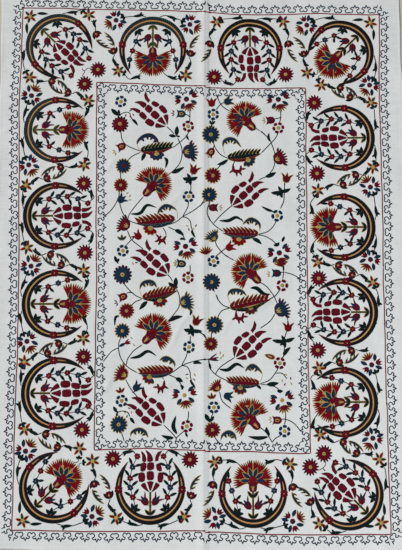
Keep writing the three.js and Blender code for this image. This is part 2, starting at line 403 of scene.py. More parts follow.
def cotton_material(settings):
    """White plain weave: slubby threads, puckers with their painted shade, and a strip beside the seam
    painted darker, as shade of the seam ridge and as soil.
    """
    dye = Dye("woven_cotton")
    place = dye.node("ShaderNodeTexCoord", out="Object")
    x, y, _ = dye.split(place)

    def threads(across, along, start):
        """Noise drawn out along one set of threads."""
        sockets = {"Vector": place, "Scale": (across, along, 1), "Location": (start, start, 0)}
        return dye.noise(dye.node("ShaderNodeMapping", sockets=sockets), 1.0, 3.0)

    slub = (threads(*WARP_SLUB) - 0.5) + (threads(*WEFT_SLUB) - 0.5)
    shadow = threads(*SHADOW) - 0.5
    mottle = threads(*MOTTLE) - 0.5
    margin = dye.ramp(dye.one("ABSOLUTE", x), *MARGIN)
    pucker = (threads(*PUCKER) - 0.5) * (margin * 1.2 + 0.8)
    warp = dye.one("SINE", x * (2 * math.pi / WARP_PITCH))
    weave = warp * dye.one("SINE", y * (2 * math.pi / WEFT_PITCH))
    # The shadow noise paints soft patches of shade into the colour, and the pucker noise paints the shade of
    # the puckers
    shade = 1 + slub * (2.2 * settings.slub) + shadow * 0.05 + mottle * 0.10 + pucker * 0.08
    past_seam = x - (y * ((SEAM_HEAD_X - SEAM_FOOT_X) / LONG) + (SEAM_HEAD_X + SEAM_FOOT_X) / 2 * MM)
    near, far = (edge * MM for edge in SEAM_SHADE_AND_SOIL)
    # Painted shade, with some soil: the cotton is painted darker in a strip beside the seam, where its ridge
    # falls away from the lamp
    seam_shade_and_soil = dye.ramp(past_seam, near, 0.0) * (1 - dye.ramp(past_seam, 0.6 * far, far))
    white = dye.shaded(rgba(settings.white), shade - seam_shade_and_soil * (0.04 + mottle * 0.1))
    for speck in SPECKS:
        middle = (speck.x * MM, speck.y * MM, 0)
        away = dye.node("ShaderNodeVectorMath", {"operation": "DISTANCE"}, {0: place, 1: middle}, out="Value")
        spot = (1 - dye.ramp(away, 0.3 * speck.reach * MM, speck.reach * MM)) * speck.strength
        white = dye.mix(spot, white, SPECK_BROWN)
    normal = dye.bump(0.5, 0.25 * MM, slub * 1.3 + weave * 0.2 + pucker * 4.5 + mottle * 2)
    return dye.finish(
        Base_Color=white, Roughness=0.93, Normal=normal, Sheen_Weight=0.15, Specular_IOR_Level=0.25
    )


# Chain stitch, in millimetres, and how far each of its links points ahead
ROW_WIDE = 1.5
LINK_LONG = 3.0
LINK_LEAN = 0.35


def thread_material(name, value):
    """Rows of chain stitch, painted darker at the sides of each row and between its links as shade: the map
    named Stitch runs across the rows and along them, in millimetres.
    """
    dye = Dye(name)
    across, along, _ = dye.split(dye.node("ShaderNodeUVMap", {"uv_map": "Stitch"}, out="UV"))
    tone = dye.node("ShaderNodeAttribute", {"attribute_name": "tone"}, out="Fac")
    place = dye.node("ShaderNodeTexCoord", out="Object")
    side = dye.one("ABSOLUTE", dye.one("FRACT", across / ROW_WIDE) - 0.5) * 2
    lean = along / LINK_LONG + side * LINK_LEAN
    link = dye.one("ABSOLUTE", dye.one("FRACT", lean) - 0.5) * 2
    strand = (1 - side * side) * (0.55 + link * 0.45)
    worn = dye.noise(place, 60.0)
    fibre = dye.noise(place, 900.0)
    # Painted shade: the colour is darker at each row's sides and between its links, where the stitches'
    # relief is in shade; worn and fibre add wear and grain
    shade = tone * (0.72 + strand * 0.36) * (0.9 + worn * 0.2) * (0.92 + fibre * 0.16)
    tint = dye.shaded(rgba(value), shade)
    normal = dye.bump(0.6, 0.5 * MM, strand + fibre * 0.2)
    return dye.finish(Base_Color=tint, Roughness=0.75 - strand * 0.1, Normal=normal, Specular_IOR_Level=0.06)


def thread(name):
    """The material of one thread colour, made once."""
    label = f"thread_{name}"
    dyed = getattr(bpy.context.scene.suzani_thread, name)
    return bpy.data.materials.get(label) or thread_material(label, dyed)


# Meshes


NO_TRIANGLES = np.zeros((0, 3), int)
TONE_SPREAD = 0.06  # how much one stitched shape is darker or lighter than the next


def new_object(name, points, quads, slots, materials, maps, triangles=NO_TRIANGLES, tones=None):
    """An object from arrays: points in metres, four-sided then three-sided faces, and a map for each name."""
    mesh = bpy.data.meshes.new(name)
    corners = np.concatenate([quads.ravel(), triangles.ravel()]).astype(np.int32)
    sizes = np.concatenate([np.full(len(quads), 4), np.full(len(triangles), 3)]).astype(np.int32)
    starts = np.concatenate([[0], np.cumsum(sizes)[:-1]]).astype(np.int32)
    mesh.vertices.add(len(points))
    mesh.vertices.foreach_set("co", np.asarray(points, np.float32).ravel())
    mesh.loops.add(len(corners))
    mesh.loops.foreach_set("vertex_index", corners)
    mesh.polygons.add(len(sizes))
    mesh.polygons.foreach_set("loop_start", starts)
    for material in materials:
        mesh.materials.append(material)
    mesh.polygons.foreach_set("material_index", np.asarray(slots, np.int32))
    mesh.update(calc_edges=True)
    mesh.polygons.foreach_set("use_smooth", np.ones(len(sizes), bool))
    for label, place in maps.items():
        layer = mesh.uv_layers.new(name=label, do_init=False)
        layer.uv.foreach_set("vector", place[corners].astype(np.float32).ravel())
    if tones is not None:
        layer = mesh.attributes.new("tone", "FLOAT", "POINT")
        layer.data.foreach_set("value", np.asarray(tones, np.float32))
    mesh.validate()
    made = bpy.data.objects.new(name, mesh)
    bpy.context.collection.objects.link(made)
    return made


def smooth(points, steps, closed=False):
    """A curve through the points, with so many steps between each pair."""
    points = np.asarray(points, float)
    if len(points) < 3:
        share = np.linspace(0, 1, steps * (len(points) - 1) + 1)[:, None]
        return points[0] + (points[-1] - points[0]) * share
    if closed:
        before, start, end, after = (np.roll(points, shift, axis=0) for shift in (1, 0, -1, -2))
    else:
        padded = np.vstack([2 * points[0] - points[1], points, 2 * points[-1] - points[-2]])
        before, start, end, after = padded[:-3], padded[1:-2], padded[2:-1], padded[3:]
    t = np.arange(steps)[None, :, None] / steps
    a, b, c, d = (p[:, None, :] for p in (before, start, end, after))
    run = 0.5 * (2 * b + (c - a) * t + (2 * a - 5 * b + 4 * c - d) * t**2 + (3 * b - a - 3 * c + d) * t**3)
    run = run.reshape(-1, 2)
    return run if closed else np.vstack([run, points[-1]])


def lengths(points):
    return np.concatenate([[0], np.cumsum(np.linalg.norm(np.diff(points, axis=0), axis=1))])


def place_at(run, along, where):
    """The place so far along a run of points."""
    return np.stack([np.interp(where, along, run[:, axis]) for axis in (0, 1)], axis=-1)


def sideways(points):
    """The unit direction to the left of a run of points, at each of them."""
    ahead = np.gradient(points, axis=0)
    ahead = ahead / np.maximum(np.linalg.norm(ahead, axis=1), 1e-9)[:, None]
    return np.stack([-ahead[:, 1], ahead[:, 0]], axis=1)


def lay(x, y):
    """A place on the skewed cloth."""
    return x, y - SKEW * x


def bearing(start, end):
    """The direction in degrees from one place to another."""
    return math.degrees(math.atan2(end[1] - start[1], end[0] - start[0]))


class Spot:
    """Where a motif goes: its own x runs across it and its y the way that it grows."""

    def __init__(self, x, y, grows=90, size=1.0, flip=1):
        self.home = np.array(lay(x, y))
        turn = math.radians(grows - 90)
        self.across = np.array([math.cos(turn), math.sin(turn)]) * size * flip
        self.along = np.array([-math.sin(turn), math.cos(turn)]) * size
        self.size = size
        self.flip = flip

    def __call__(self, points):
        points = np.asarray(points, float).reshape(-1, 2)
        return self.home + points[:, :1] * self.across + points[:, 1:] * self.along

    def point(self, x, y):
        return self([[x, y]])[0]

    def spot(self, x, y, grows=90, size=1.0):
        """A motif within this one, placed on this one's axes."""
        made = Spot(0, 0, size=size * self.size, flip=self.flip)
        turn = math.radians(grows - 90)
        made.home = self.point(x, y)
        ahead = -math.sin(turn) * self.across + math.cos(turn) * self.along
        ahead = ahead / self.size
        made.along = ahead * made.size
        made.across = np.array([ahead[1], -ahead[0]]) * made.size * made.flip
        return made


def around(radius, degrees):
    """Points at angles from straight ahead, turning to the left, on a motif's own axes."""
    turn = np.radians(degrees)
    radius = np.asarray(radius, float)
    return np.stack([-radius * np.sin(turn), radius * np.cos(turn)], axis=-1)


class Work:
    """Stitched shapes for one piece, gathered in millimetres on the flat cloth."""

    def __init__(self, name, seed, threads):
        self.name = name
        self.threads = threads.split()
        self.chance = np.random.default_rng(seed)
        self.points, self.heights, self.stitches, self.tones = [], [], [], []
        self.quads, self.triangles, self.quad_slots, self.triangle_slots = [], [], [], []
        self.count = 0

    def add(self, points, heights, stitches, tone):
        self.points.append(points)
        self.heights.append(heights)
        self.stitches.append(stitches)
        self.tones.append(np.full(len(points), tone))
        self.count += len(points)

    def skin(self, points, heights, stitches, name, wrap=False, tip=None):
        """Rows of points as a skin: rows x columns x 2, and a height and a stitch place for each.

        wrap joins each row's ends, and tip closes the last row to its middle.
        """
        rows, columns = points.shape[:2]
        index = self.count + np.arange(rows * columns).reshape(rows, columns)
        along = np.concatenate([index, index[:, :1]], axis=1) if wrap else index
        quads = grid_faces(along)
        slot = self.threads.index(name)
        self.quads.append(quads)
        self.quad_slots.append(np.full(len(quads), slot))
        tone = self.chance.normal(1.0, TONE_SPREAD)
        heights = np.broadcast_to(heights, (rows, columns)).ravel()
        self.add(points.reshape(-1, 2), heights, stitches.reshape(-1, 2), tone)
        if tip is not None:
            last = along[-1]
            fans = np.stack([last[:-1], last[1:], np.full(len(last) - 1, self.count)], axis=-1)
            self.triangles.append(fans)
            self.triangle_slots.append(np.full(len(fans), slot))
            self.add(points[-1].mean(axis=0)[None], np.array([tip]), stitches[-1].mean(axis=0)[None], tone)

    def piece(self):
        """The gathered shapes as one object on the cloth, riding on the part's body."""
        flat = np.vstack(self.points)
        heights = np.concatenate(self.heights) + stitch_bed(flat[:, 0], flat[:, 1])
        quads = facing_up(flat, np.vstack(self.quads))
        triangles = facing_up(flat, np.vstack(self.triangles or [NO_TRIANGLES]))
        made = new_object(
            self.name,
            np.column_stack([flat, heights]) * MM,
            quads,
            np.concatenate([*self.quad_slots, *self.triangle_slots]),
            [thread(name) for name in self.threads],
            {"Stitch": np.vstack(self.stitches), "OFBake": unit_map(flat)},
            triangles,
            np.concatenate(self.tones),
        )
        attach(made, "root")


def grid_faces(index):
    """The four-sided faces between rows of points, from the points' numbers."""
    corners = [index[:-1, :-1], index[:-1, 1:], index[1:, 1:], index[1:, :-1]]
    return np.stack(corners, axis=-1).reshape(-1, 4)


def facing_up(flat, faces):
    """Faces with each turned anticlockwise seen from above."""
    x, y = flat[faces, 0], flat[faces, 1]
    up = (x * np.roll(y, -1, axis=1) - y * np.roll(x, -1, axis=1)).sum(axis=1) > 0
    return np.where(up[:, None], faces, faces[:, ::-1])


def unit_map(flat):
    """Flat places as a map from 0 to 1, a millimetre clear of its edges."""
    low, high = flat.min(axis=0) - 1, flat.max(axis=0) + 1
    return (flat - low) / (high - low)


HIGH = 0.8  # how far filled shapes stand off the cotton, in millimetres
ROW_HIGH = 0.6  # and single rows of stitches
FLAT_SECTION = (np.array([-1, -0.8, 0, 0.8, 1]), np.array([0, 0.86, 1, 0.86, 0]))
LINE_SECTION = (np.array([-1.25, 0, 1.25]), np.array([0, 1, 0]))
RIM_WIDE = 1.3  # how far the edge of a filled shape falls away over, in millimetres
RIM_OUT = 0.35  # how far past its outline a filled shape's rim goes into the cotton
RIM_OVER = 1.1
INNER_RING = 0.5  # where a filled shape is flat, as a share of the way out from its middle
FULLER = 0.25  # how much wider than drawn a long shape is stitched, on each side
ENDS_WIDE = 1.2  # a long shape narrower than this stands lower


def band(work, spine, half, name, high=HIGH, section=FLAT_SECTION):
    """A long filled shape on its spine, with its half width at each point."""
    spine = np.asarray(spine, float)
    half = np.broadcast_to(np.asarray(half, float), len(spine))
    share, rise = section
    wide = half + FULLER * np.minimum(1, half)
    across = share * wide[:, None]
    points = spine[:, None, :] - sideways(spine)[:, None, :] * across[:, :, None]
    stitches = np.stack(np.broadcast_arrays(across, lengths(spine)[:, None]), axis=-1)
    ends = np.minimum(1, np.maximum(wide, FULLER) / ENDS_WIDE)
    work.skin(points, -SINK + (high + SINK) * rise * ends[:, None], stitches, name)


def row(work, spine, wide, name, high=ROW_HIGH):
    """One row of stitches: a thin raised line with soft ends."""
    along = lengths(np.asarray(spine, float))
    ends = np.minimum(along, along[-1] - along) / (0.5 * wide)
    band(work, spine, 0.5 * wide * (0.35 + 0.65 * smoothstep(ends)), name, high, LINE_SECTION)


def patch(work, outline, name, high=HIGH, middle=None):
    """A filled shape inside a closed outline that its middle can see all of."""
    outline = np.asarray(outline, float)
    middle = outline.mean(axis=0) if middle is None else np.asarray(middle, float)
    around_it = lengths(np.vstack([outline, outline[:1]]))[:-1]
    away = np.linalg.norm(outline - middle, axis=1).mean()
    shares = (1 + RIM_OUT / away, 1 - (RIM_WIDE - RIM_OUT) / away, INNER_RING)
    points = np.stack([middle + (outline - middle) * share for share in shares])
    stitches = [np.column_stack([np.full(len(outline), (1 - share) * away), around_it]) for share in shares]
    heights = -SINK + (high + SINK) * np.array([[0], [0.88], [1]])
    work.skin(points, heights, np.stack(stitches), name, wrap=True, tip=high)


def rim(work, outline, wide, name):
    """A row of stitches along a closed outline."""
    closed = np.vstack([outline[-1:], outline, outline[:2]])
    spine = closed[1:-1]
    share, rise = LINE_SECTION
    across = share * RIM_OVER * wide / 2
    points = spine[:, None, :] + sideways(closed)[1:-1][:, None, :] * across[None, :, None]
    stitches = np.stack(np.broadcast_arrays(across[None, :], lengths(spine)[:, None]), axis=-1)
    work.skin(points, -SINK + (ROW_HIGH + SINK) * rise, stitches, name)


def leaf_widths(count, belly):
    """Half widths, from 0 to 1, along a leaf whose widest place is at a share of its length."""
    return np.sin(np.pi * np.linspace(0, 1, count) ** (math.log(0.5) / math.log(belly))) ** 0.85


def leaf(work, spot, long, wide, name, edge=None, bend=0.0, belly=0.42, count=7, high=HIGH, edge_wide=1.4):
    """A leaf or petal from a spot's origin along its growth; bend is how far its tip leans to the left."""
    share = np.linspace(0, 1, count)
    aside = -bend * share**1.7
    full = leaf_widths(count, belly)
    half = 0.5 * wide * spot.size * full
    if edge:
        stretch = spot(np.stack([aside, -edge_wide + (long + 2.2 * edge_wide) * share], axis=1))
        band(work, stretch, half + edge_wide * np.sqrt(full), edge, high - 0.22)
    band(work, spot(np.stack([aside, long * share], axis=1)), half, name, high)


def fan_of_leaves(work, spot, degrees, long, wide, name, **style):
    for angle in degrees:
        leaf(work, spot.spot(0, 0, 90 + angle), long, wide, name, **style)


def disc(work, spot, radius, name, high=HIGH, count=10, lobes=0, depth=0.0, turn=0.0):
    """A round, or lobed, filled shape at a spot's origin."""
    angle = np.linspace(0, 360, count, endpoint=False)
    reach = radius * (1 - depth * (1 - np.abs(np.cos(np.radians((angle - turn) * lobes / 2)))))
    patch(work, spot(around(reach, angle)), name, high)


def mirrored(half, top, foot=None):
    """A whole outline from its right-hand half, with its highest and lowest points on the middle line."""
    half = np.asarray(half, float)
    whole = np.vstack([half, [(0, top)], (half * [-1, 1])[::-1]])
    return whole if foot is None else np.vstack([[(0, foot)], whole])


def half_round(work, spot, radius):
    """The navy half that lies over the heart of a two-coloured flower."""
    patch(work, spot(around(np.full(9, radius), np.linspace(-95, 85, 9))), "navy", HIGH + 0.2)


TOOTH_LEAN = 0.6
TEETH = 15


def sawtooth(radius, depth):
    """A toothed round about a spot's origin, its teeth leaning over."""
    pitch = 360 / TEETH
    shares = np.array([0, 0.28 + 0.3 * TOOTH_LEAN, 0.55 + 0.3 * TOOTH_LEAN, 0.9])
    angles = (-180 + pitch * np.arange(TEETH)[:, None] + pitch * shares).ravel()
    reaches = radius - np.array([1, 0.12, 0, 0.8]) * depth
    return around(np.tile(reaches, TEETH), angles)


def sprig_flower(work, spot, name):
    disc(work, spot, 13, name, count=24, lobes=6, depth=0.3, turn=11)
    disc(work, spot, 2.8, "ochre", HIGH + 0.25, 6)


# The crescents of the border: the middle of each, the way it opens, its size and the angle of its clasps from
# its back, then its bloom's kind, where the bloom's foot is along the way that it opens, and the bloom's size
Crescent = namedtuple("Crescent", "x y opens size clasp bloom seat grown")
CRESCENTS = (
    Crescent(-574, 869, -45, 1.0, 84, "tulip", -29, 0.95),
    Crescent(-197, 864, -90, 1.02, 82, "carnation", -6, 0.96),
    Crescent(195, 866, -90, 0.98, 86, "tulip", -22, 0.95),
    Crescent(562, 864, -135, 1.0, 85, "carnation", 0, 1.0),
    Crescent(-575, 525, 0, 1.0, 86, "carnation", 6, 0.97),
    Crescent(-571, 180, 0, 1.0, 87, "tulip", -24, 1.0),
    Crescent(-569, -166, 0, 1.0, 87, "carnation", 13, 1.0),
    Crescent(-560, -509, 0, 1.04, 84, "tulip", -33, 1.04),
    Crescent(-564, -865, 45, 1.0, 85, "carnation", 2, 0.97),
    Crescent(-197, -865, 90, 1.0, 89, "tulip", -20, 1.0),
    Crescent(195, -876, 90, 0.98, 89, "carnation", 3, 0.96),
    Crescent(563, -879, 135, 1.0, 85, "tulip", -34, 1.0),
    Crescent(559, 512, 180, 1.0, 84, "tulip", -32, 0.97),
    Crescent(555, 153, 180, 1.0, 86, "carnation", 3, 1.0),
    Crescent(557, -182, 180, 1.0, 86, "tulip", -36, 1.0),
    Crescent(548, -529, 180, 1.01, 87, "carnation", -5, 1.0),
)
CRESCENT_RADIUS = 134
BACK_WIDE = 36.5
CRESCENT_WALL = -(CRESCENT_RADIUS - BACK_WIDE)
CLASP_WIDE = 26
HORN_AT = 142
CLASP_SEAT = 121
RIB_PITCH = 4.8
RIB_SLANT = 2.4
RIB_TROUGH = 0.66  # how high a rib stands at its sides
DEGREE_LONG = 2.3  # millimetres along a crescent, for its stitches
BAND_ACROSS = 30
CLASP_CLEAR = 4  # degrees between a clasp's middle and the bands and horns on both sides of it
# Across a crescent, from its outer edge: the ends of its outer dark band, its stripe and its inner dark band
BACK_SHARES = (0.085, 0.41, 0.46, 0.61, 0.66, 0.915)
SIDE_SHARES = (0.10, 0.42, 0.46, 0.62, 0.67, 0.90)
SKEIN_LONG = 22  # degrees of a horn that its stripe runs on for


def crescent_width(degrees, clasp_at):
    away = np.abs(degrees)
    body = BACK_WIDE - (BACK_WIDE - CLASP_WIDE) * (away / clasp_at) ** 2
    past = np.clip((away - clasp_at) / (HORN_AT - clasp_at), 0, 1)
    return np.where(away <= clasp_at, body, CLASP_WIDE * (1 - past**2.1))


def crescent_arc(spot, clasp_at, degrees, share):
    """Points on a crescent: share is 0 at its outer edge and 1 at its inner one."""
    radius = CRESCENT_RADIUS - share * crescent_width(degrees, clasp_at)
    return spot(around(radius, np.asarray(degrees) + 180))


def band_shares(degrees, clasp_at):
    """Where a crescent's five bands end at an angle, from its outer edge to its inner one."""
    out = np.abs(degrees)[..., None] / (clasp_at - 4)
    return np.array(BACK_SHARES) * (1 - out**2) + np.array(SIDE_SHARES) * out**2


def ribbed_band(work, spot, clasp_at, first, paler_thread):
    """A dark band of a crescent in slanting ribs, by turns dark and paler."""
    last = clasp_at - CLASP_CLEAR
    ribs = round(math.radians(2 * last) * CRESCENT_RADIUS / RIB_PITCH)
    edges = np.linspace(-last, last, ribs + 1)
    heights = np.array([[RIB_TROUGH], [HIGH + 0.12], [RIB_TROUGH]]) + np.array([[-0.08, 0.0, -0.08]])
    for order, (start, end) in enumerate(zip(edges[:-1], edges[1:])):
        across = np.array([start, (start + end) / 2, end])
        degrees = np.clip(across[:, None] + RIB_SLANT * np.array([[0.5, 0, -0.5]]), -last, last)
        limits = band_shares(degrees[:, 1], clasp_at)[:, first : first + 2]
        shares = np.stack([limits[:, 0], limits.mean(axis=1), limits[:, 1]], axis=1)
        points = [crescent_arc(spot, clasp_at, degrees[:, k], shares[:, k]) for k in range(3)]
        stitches = np.stack(np.broadcast_arrays(across[:, None] * DEGREE_LONG, shares * BAND_ACROSS), axis=-1)
        work.skin(np.stack(points, axis=1), heights, stitches, paler_thread if order % 2 else "green")


def crescent(work, spot, clasp_at, paler_thread):
    """The crescent's body: dark ribbed bands either side of an ochre stripe, all edged in crimson."""

    def middle_band(degrees, half, name, high, share=0.5):
        band(work, crescent_arc(spot, clasp_at, degrees, share), half, name, high)

    whole = np.linspace(-HORN_AT, HORN_AT, 73)
    middle_band(whole, crescent_width(whole, clasp_at) / 2, "crimson", HIGH - 0.28)
    for first in (0, 4):
        ribbed_band(work, spot, clasp_at, first, paler_thread)
    body = np.linspace(CLASP_CLEAR - clasp_at, clasp_at - CLASP_CLEAR, 41)
    inner, outer = band_shares(body, clasp_at)[:, 2:4].T
    stripe = (outer - inner) * crescent_width(body, clasp_at) / 2
    middle_band(body, stripe, "stripe", HIGH + 0.1, (inner + outer) / 2)
    for side in (-1, 1):
        horn = side * np.linspace(clasp_at + CLASP_CLEAR, HORN_AT - 2, 15)
        middle_band(horn, np.maximum(crescent_width(horn, clasp_at) / 2 - 2.2, 0.3), "green", HIGH)
        past = np.linspace(0, 1, 8)
        tail = side * (clasp_at + CLASP_CLEAR + SKEIN_LONG * past)
        middle_band(tail, 4.2 * (1 - past**1.5) + 0.5, "crimson", HIGH + 0.06)
        middle_band(tail, 3.0 * (1 - past**1.5) + 0.2, "tan", HIGH + 0.2)
        clasp = spot.spot(*around([CLASP_SEAT], [180 + side * clasp_at])[0])
        disc(work, clasp, 16.5, "crimson", HIGH + 0.35, count=24, lobes=6, depth=0.22)
        disc(work, clasp, 3.4, "ochre", HIGH + 0.6, 7)


# A tulip's twelve segments on its own axes, foot up, each from its lower left
TULIP_SEGMENTS = (
    ((-4, 8), (-12, 12), (-26, 22), (-36, 33), (-30, 40), (-20, 43), (-15, 30), (-10, 18)),
    ((-2, 14), (2, 14), (8, 32), (12, 46), (0, 49), (-12, 46), (-7, 32)),
    ((4, 8), (12, 12), (26, 22), (36, 33), (30, 40), (20, 43), (15, 30), (10, 18)),
    ((-42, 48), (-22, 51), (-23, 79), (-44, 78)),
    ((-11, 56), (0, 54), (12, 57), (12, 82), (0, 86), (-13, 82)),
    ((29, 48), (45, 46), (49, 76), (31, 79)),
    ((-37, 88), (-20, 90), (-16, 116), (-34, 116)),
    ((-10, 92), (12, 95), (12, 117), (0, 119), (-11, 115)),
    ((26, 90), (43, 87), (38, 111), (23, 112)),
    ((-30, 124), (-17, 124), (-18, 140), (-25, 153), (-36, 161), (-31, 145)),
    ((-11, 124), (8, 125), (7, 140), (-2, 154), (-19, 165), (-11, 148)),
    ((18, 124), (30, 126), (31, 138), (38, 151), (45, 163), (29, 157), (20, 143)),
)


def tulip_head(work, spot, lean=0.0):
    """The segments of a tulip, each with a thin dark outline; lean is how far its first column leans out."""
    for segment in TULIP_SEGMENTS:
        outline = np.asarray(segment, float)
        if outline[:, 0].max() < -14:
            outline[:, 0] -= lean * np.maximum(0, outline[:, 1] - 30)
        middle = outline.mean(axis=0)
        rounded = smooth(outline, 2, closed=True) if len(segment) < 7 else outline
        patch(work, spot(rounded), "crimson", middle=spot.point(*middle))
        rim(work, spot(middle + (rounded - middle) * 1.03), 1.7, "dark")


# The carnation's fan: the angles that each part fills, from its growth, and the angles of its navy sepals
FAN_PARTS = ((-116, -86), (-86, -46), (-46, 0), (0, 46), (46, 86), (86, 116))
FAN_GAP = 1.3
FAN_REACH = 80
FAN_NOTCH = 64.5
FAN_AT = 46
FAN_FOOT = 9.0
TOOTH_WIDE = 6.8  # degrees
SEPALS = (-92, -55, -19, 19, 55, 92)
SEPAL = ((0, -19), (5, -11), (9, -1), (7.6, 8), (0, 22), (-7.6, 8), (-9, -1), (-5, -11))
BELL = ((3, -1), (12, 3), (16, 12), (16, 26), (25, 44), (10, 38))
FLAME = ((2, 4), (4, 9), (4.5, 14), (9, 26), (3, 20))


def carnation_head(work, spot, fan_at=FAN_AT, reach=FAN_REACH):
    """A half round of red petals with teeth edged in ochre, navy sepals over it and a bell below."""
    heart = spot.spot(0, fan_at)
    notch = FAN_NOTCH - FAN_REACH + reach
    whole = around([notch - 8] * 25, np.linspace(-113, 113, 25))
    patch(work, heart(np.vstack([whole, [(8, -4), (-8, -4)]])), "ochre", HIGH - 0.2, middle=heart.point(0, 4))
    disc(work, heart.spot(0, 4), 27, "red", HIGH + 0.05, 14)
    for start, end in FAN_PARTS:
        teeth = max(4, round((end - start) / TOOTH_WIDE))
        pitch = (end - start) / teeth
        angles, reaches = [], []
        for tip in start + pitch * (np.arange(teeth) + 0.5):
            angles += [tip - 0.5 * pitch, tip - 0.17 * pitch, tip + 0.17 * pitch]
            tall = reach + work.chance.uniform(-2.5, 2)
            reaches += [notch + work.chance.uniform(-2, 1), tall, tall]
        angles, reaches = np.array([*angles, end]), np.array([*reaches, notch])
        middle = heart.point(*around(44.0, (start + end) / 2))
        fringe = around([notch - 14, *reaches, notch - 14], [start, *angles, end])
        patch(work, heart(fringe), "ochre", HIGH - 0.15, middle=middle)
        inner = reaches - 2.4 - 1.6 * (reaches > notch + 4)
        inset = np.degrees(FAN_GAP / inner)
        angles = np.clip(angles, start + inset, end - inset)
        foot_inset = math.degrees(FAN_GAP / FAN_FOOT)
        foot = around([FAN_FOOT, FAN_FOOT], [end - foot_inset, start + foot_inset])
        patch(work, heart(np.vstack([around(inner, angles), foot])), "red", middle=middle)
    for angle in SEPALS:
        sepal = heart.spot(0, 0, 90 + angle).spot(0, 30)
        patch(work, sepal(np.array(SEPAL) * [1.22, 1.22]), "ochre", HIGH + 0.15)
        patch(work, sepal(np.array(SEPAL) * [0.92, 1.1]), "navy", HIGH + 0.35)
    tall = fan_at / FAN_AT
    bell, flame = mirrored(BELL, 45, -2) * [1, tall], mirrored(FLAME, 28, 2) * [1, tall]
    patch(work, spot(bell), "crimson", HIGH + 0.55, middle=spot.point(0, 20 * tall))
    patch(work, spot(flame), "ochre", HIGH + 0.75, middle=spot.point(0, 17 * tall))


SMALL_TULIP = 48 / 34  # how much larger it is worked than drawn
SMALL_TULIP_HALF = ((2, 0), (8, 5), (10, 13), (9, 20), (15, 30), (16, 34), (9, 28), (4, 22))


def small_tulip(work, spot):
    """A little three-pointed tulip with a navy heart, growing from its spot's origin."""
    tulip = spot.spot(0, 0, size=SMALL_TULIP)
    patch(work, tulip(mirrored(SMALL_TULIP_HALF, 24)), "crimson", middle=tulip.point(0, 13))
    leaf(work, tulip.spot(0, 8), 24, 8, "navy", high=HIGH + 0.25, count=6)


def stalk(work, spot, foot, head, name):
    """A thick stem edged in ochre, from a crescent's inner side up to its bloom."""
    run = spot(np.stack([np.zeros(9), np.linspace(foot, head, 9)], axis=1))
    band(work, run, 4.7, "ochre", HIGH - 0.25)
    band(work, run, 3.0, name)


def bloom(work, spot, here, name):
    """What stands in a crescent: the bloom, its stalk and leaves and the two small tulips beside it."""
    foot = CRESCENT_WALL * here.size
    head = spot.spot(0, here.seat, 90, here.grown)
    if here.bloom == "tulip":
        stalk(work, spot, foot, here.seat + 9, name)
        tulip_head(work, head)
    else:
        stalk(work, spot, foot, here.seat + 4, name)
        for side in (-1, 1):
            node = spot.spot(0, here.seat - 22, 90 + side * 42)
            leaf(work, node, 34, 13, name, edge="ochre", bend=-side * 2)
        carnation_head(work, head)
    for side in (-1, 1):
        leaf(work, spot.spot(0, foot + 1, 90 + side * 48), 29, 12, name, edge="ochre", bend=-side * 2)
        small_tulip(work, spot.spot(side * -9, -60, 90 + side * 38))
        row(work, spot(smooth([(0, -66), (side * -4, -62), (side * -9, -58)], 2)), 2.6, "green", 0.5)


# The flowering sprigs inside a crescent: places of the flowers on its right-hand side
CARNATION_SPRIG = ((67, -30), (81, 9), (93, 45))
TULIP_SPRIG = ((66, -31), (76, 5), (77, 40), (68, 82), (50, 122))
SPRIG_FOOT = (56, -66)
NAVY_FIRST = {(-197, 864), (-564, -865)}


def sprig(work, spot, side, kind, navy_first):
    """One sprig up the inside of a crescent, with slim leaves in pairs and flowers by turns red and navy."""
    places = [(side * x, y) for x, y in (CARNATION_SPRIG if kind == "carnation" else TULIP_SPRIG)]
    foot = (side * SPRIG_FOOT[0], SPRIG_FOOT[1])
    row(work, spot(smooth([foot, *places], 6)), 3.4, "green")
    base = spot.spot(side * 63, -78, 90 + side * 35)
    fan_of_leaves(work, base, (-52, 0, 52), 28, 15, "green")
    for order, (x, y) in enumerate(places):
        name = "navy" if (order % 2 == 0) == navy_first else "crimson"
        ahead = places[order + 1] if order + 1 < len(places) else (x + side * 2, y + 30)
        lean = math.degrees(math.atan2(ahead[1] - y, ahead[0] - x))
        home = spot.spot(x, y, lean)
        if kind == "tulip" and order < 4:
            for turn in (-44, 38):
                leaf(work, home.spot(0, 0, 90 + turn).spot(0, 6), 34, 11.5, "green", bend=turn / 9, belly=0.5)
        elif kind == "carnation" and order == 0:
            for turn in (side * 62, side * 128):
                leaf(work, home.spot(0, 0, 90 + turn).spot(0, 6), 26, 11, "green", belly=0.5)
        sprig_flower(work, home, name)
    if kind == "carnation":
        tip = spot.spot(places[-1][0], places[-1][1] + 9, 90 - side * 3)
        leaf(work, tip, 33, 10.5, "green")


# Flowers of the border, growing from a spot's origin or about it


def star_flower(work, spot):
    """Six pointed petals by turns red and navy, edged in ochre."""
    for order in range(6):
        petal = spot.spot(0, 0, 90 + 60 * order + work.chance.uniform(-5, 5))
        reach = work.chance.uniform(23, 27)
        name = ("red", "navy")[order % 2]
        leaf(work, petal.spot(0, 4), reach, 10.5, name, edge="ochre", belly=0.4, edge_wide=1.5)
    disc(work, spot, 7.5, "ochre", HIGH + 0.3, 8)


# Half of a small bud, in shares of its half width and its length
MINI_TULIP_HALF = ((0.2, 0), (0.75, 0.22), (1.05, 1.0), (0.42, 0.62))


def mini_tulip(work, spot, wide, long):
    """A crimson bud of three points over a small foot."""
    outline = mirrored(MINI_TULIP_HALF, 1.05) * [wide, long]
    patch(work, spot(outline), "crimson", middle=spot.point(0, 0.42 * long))


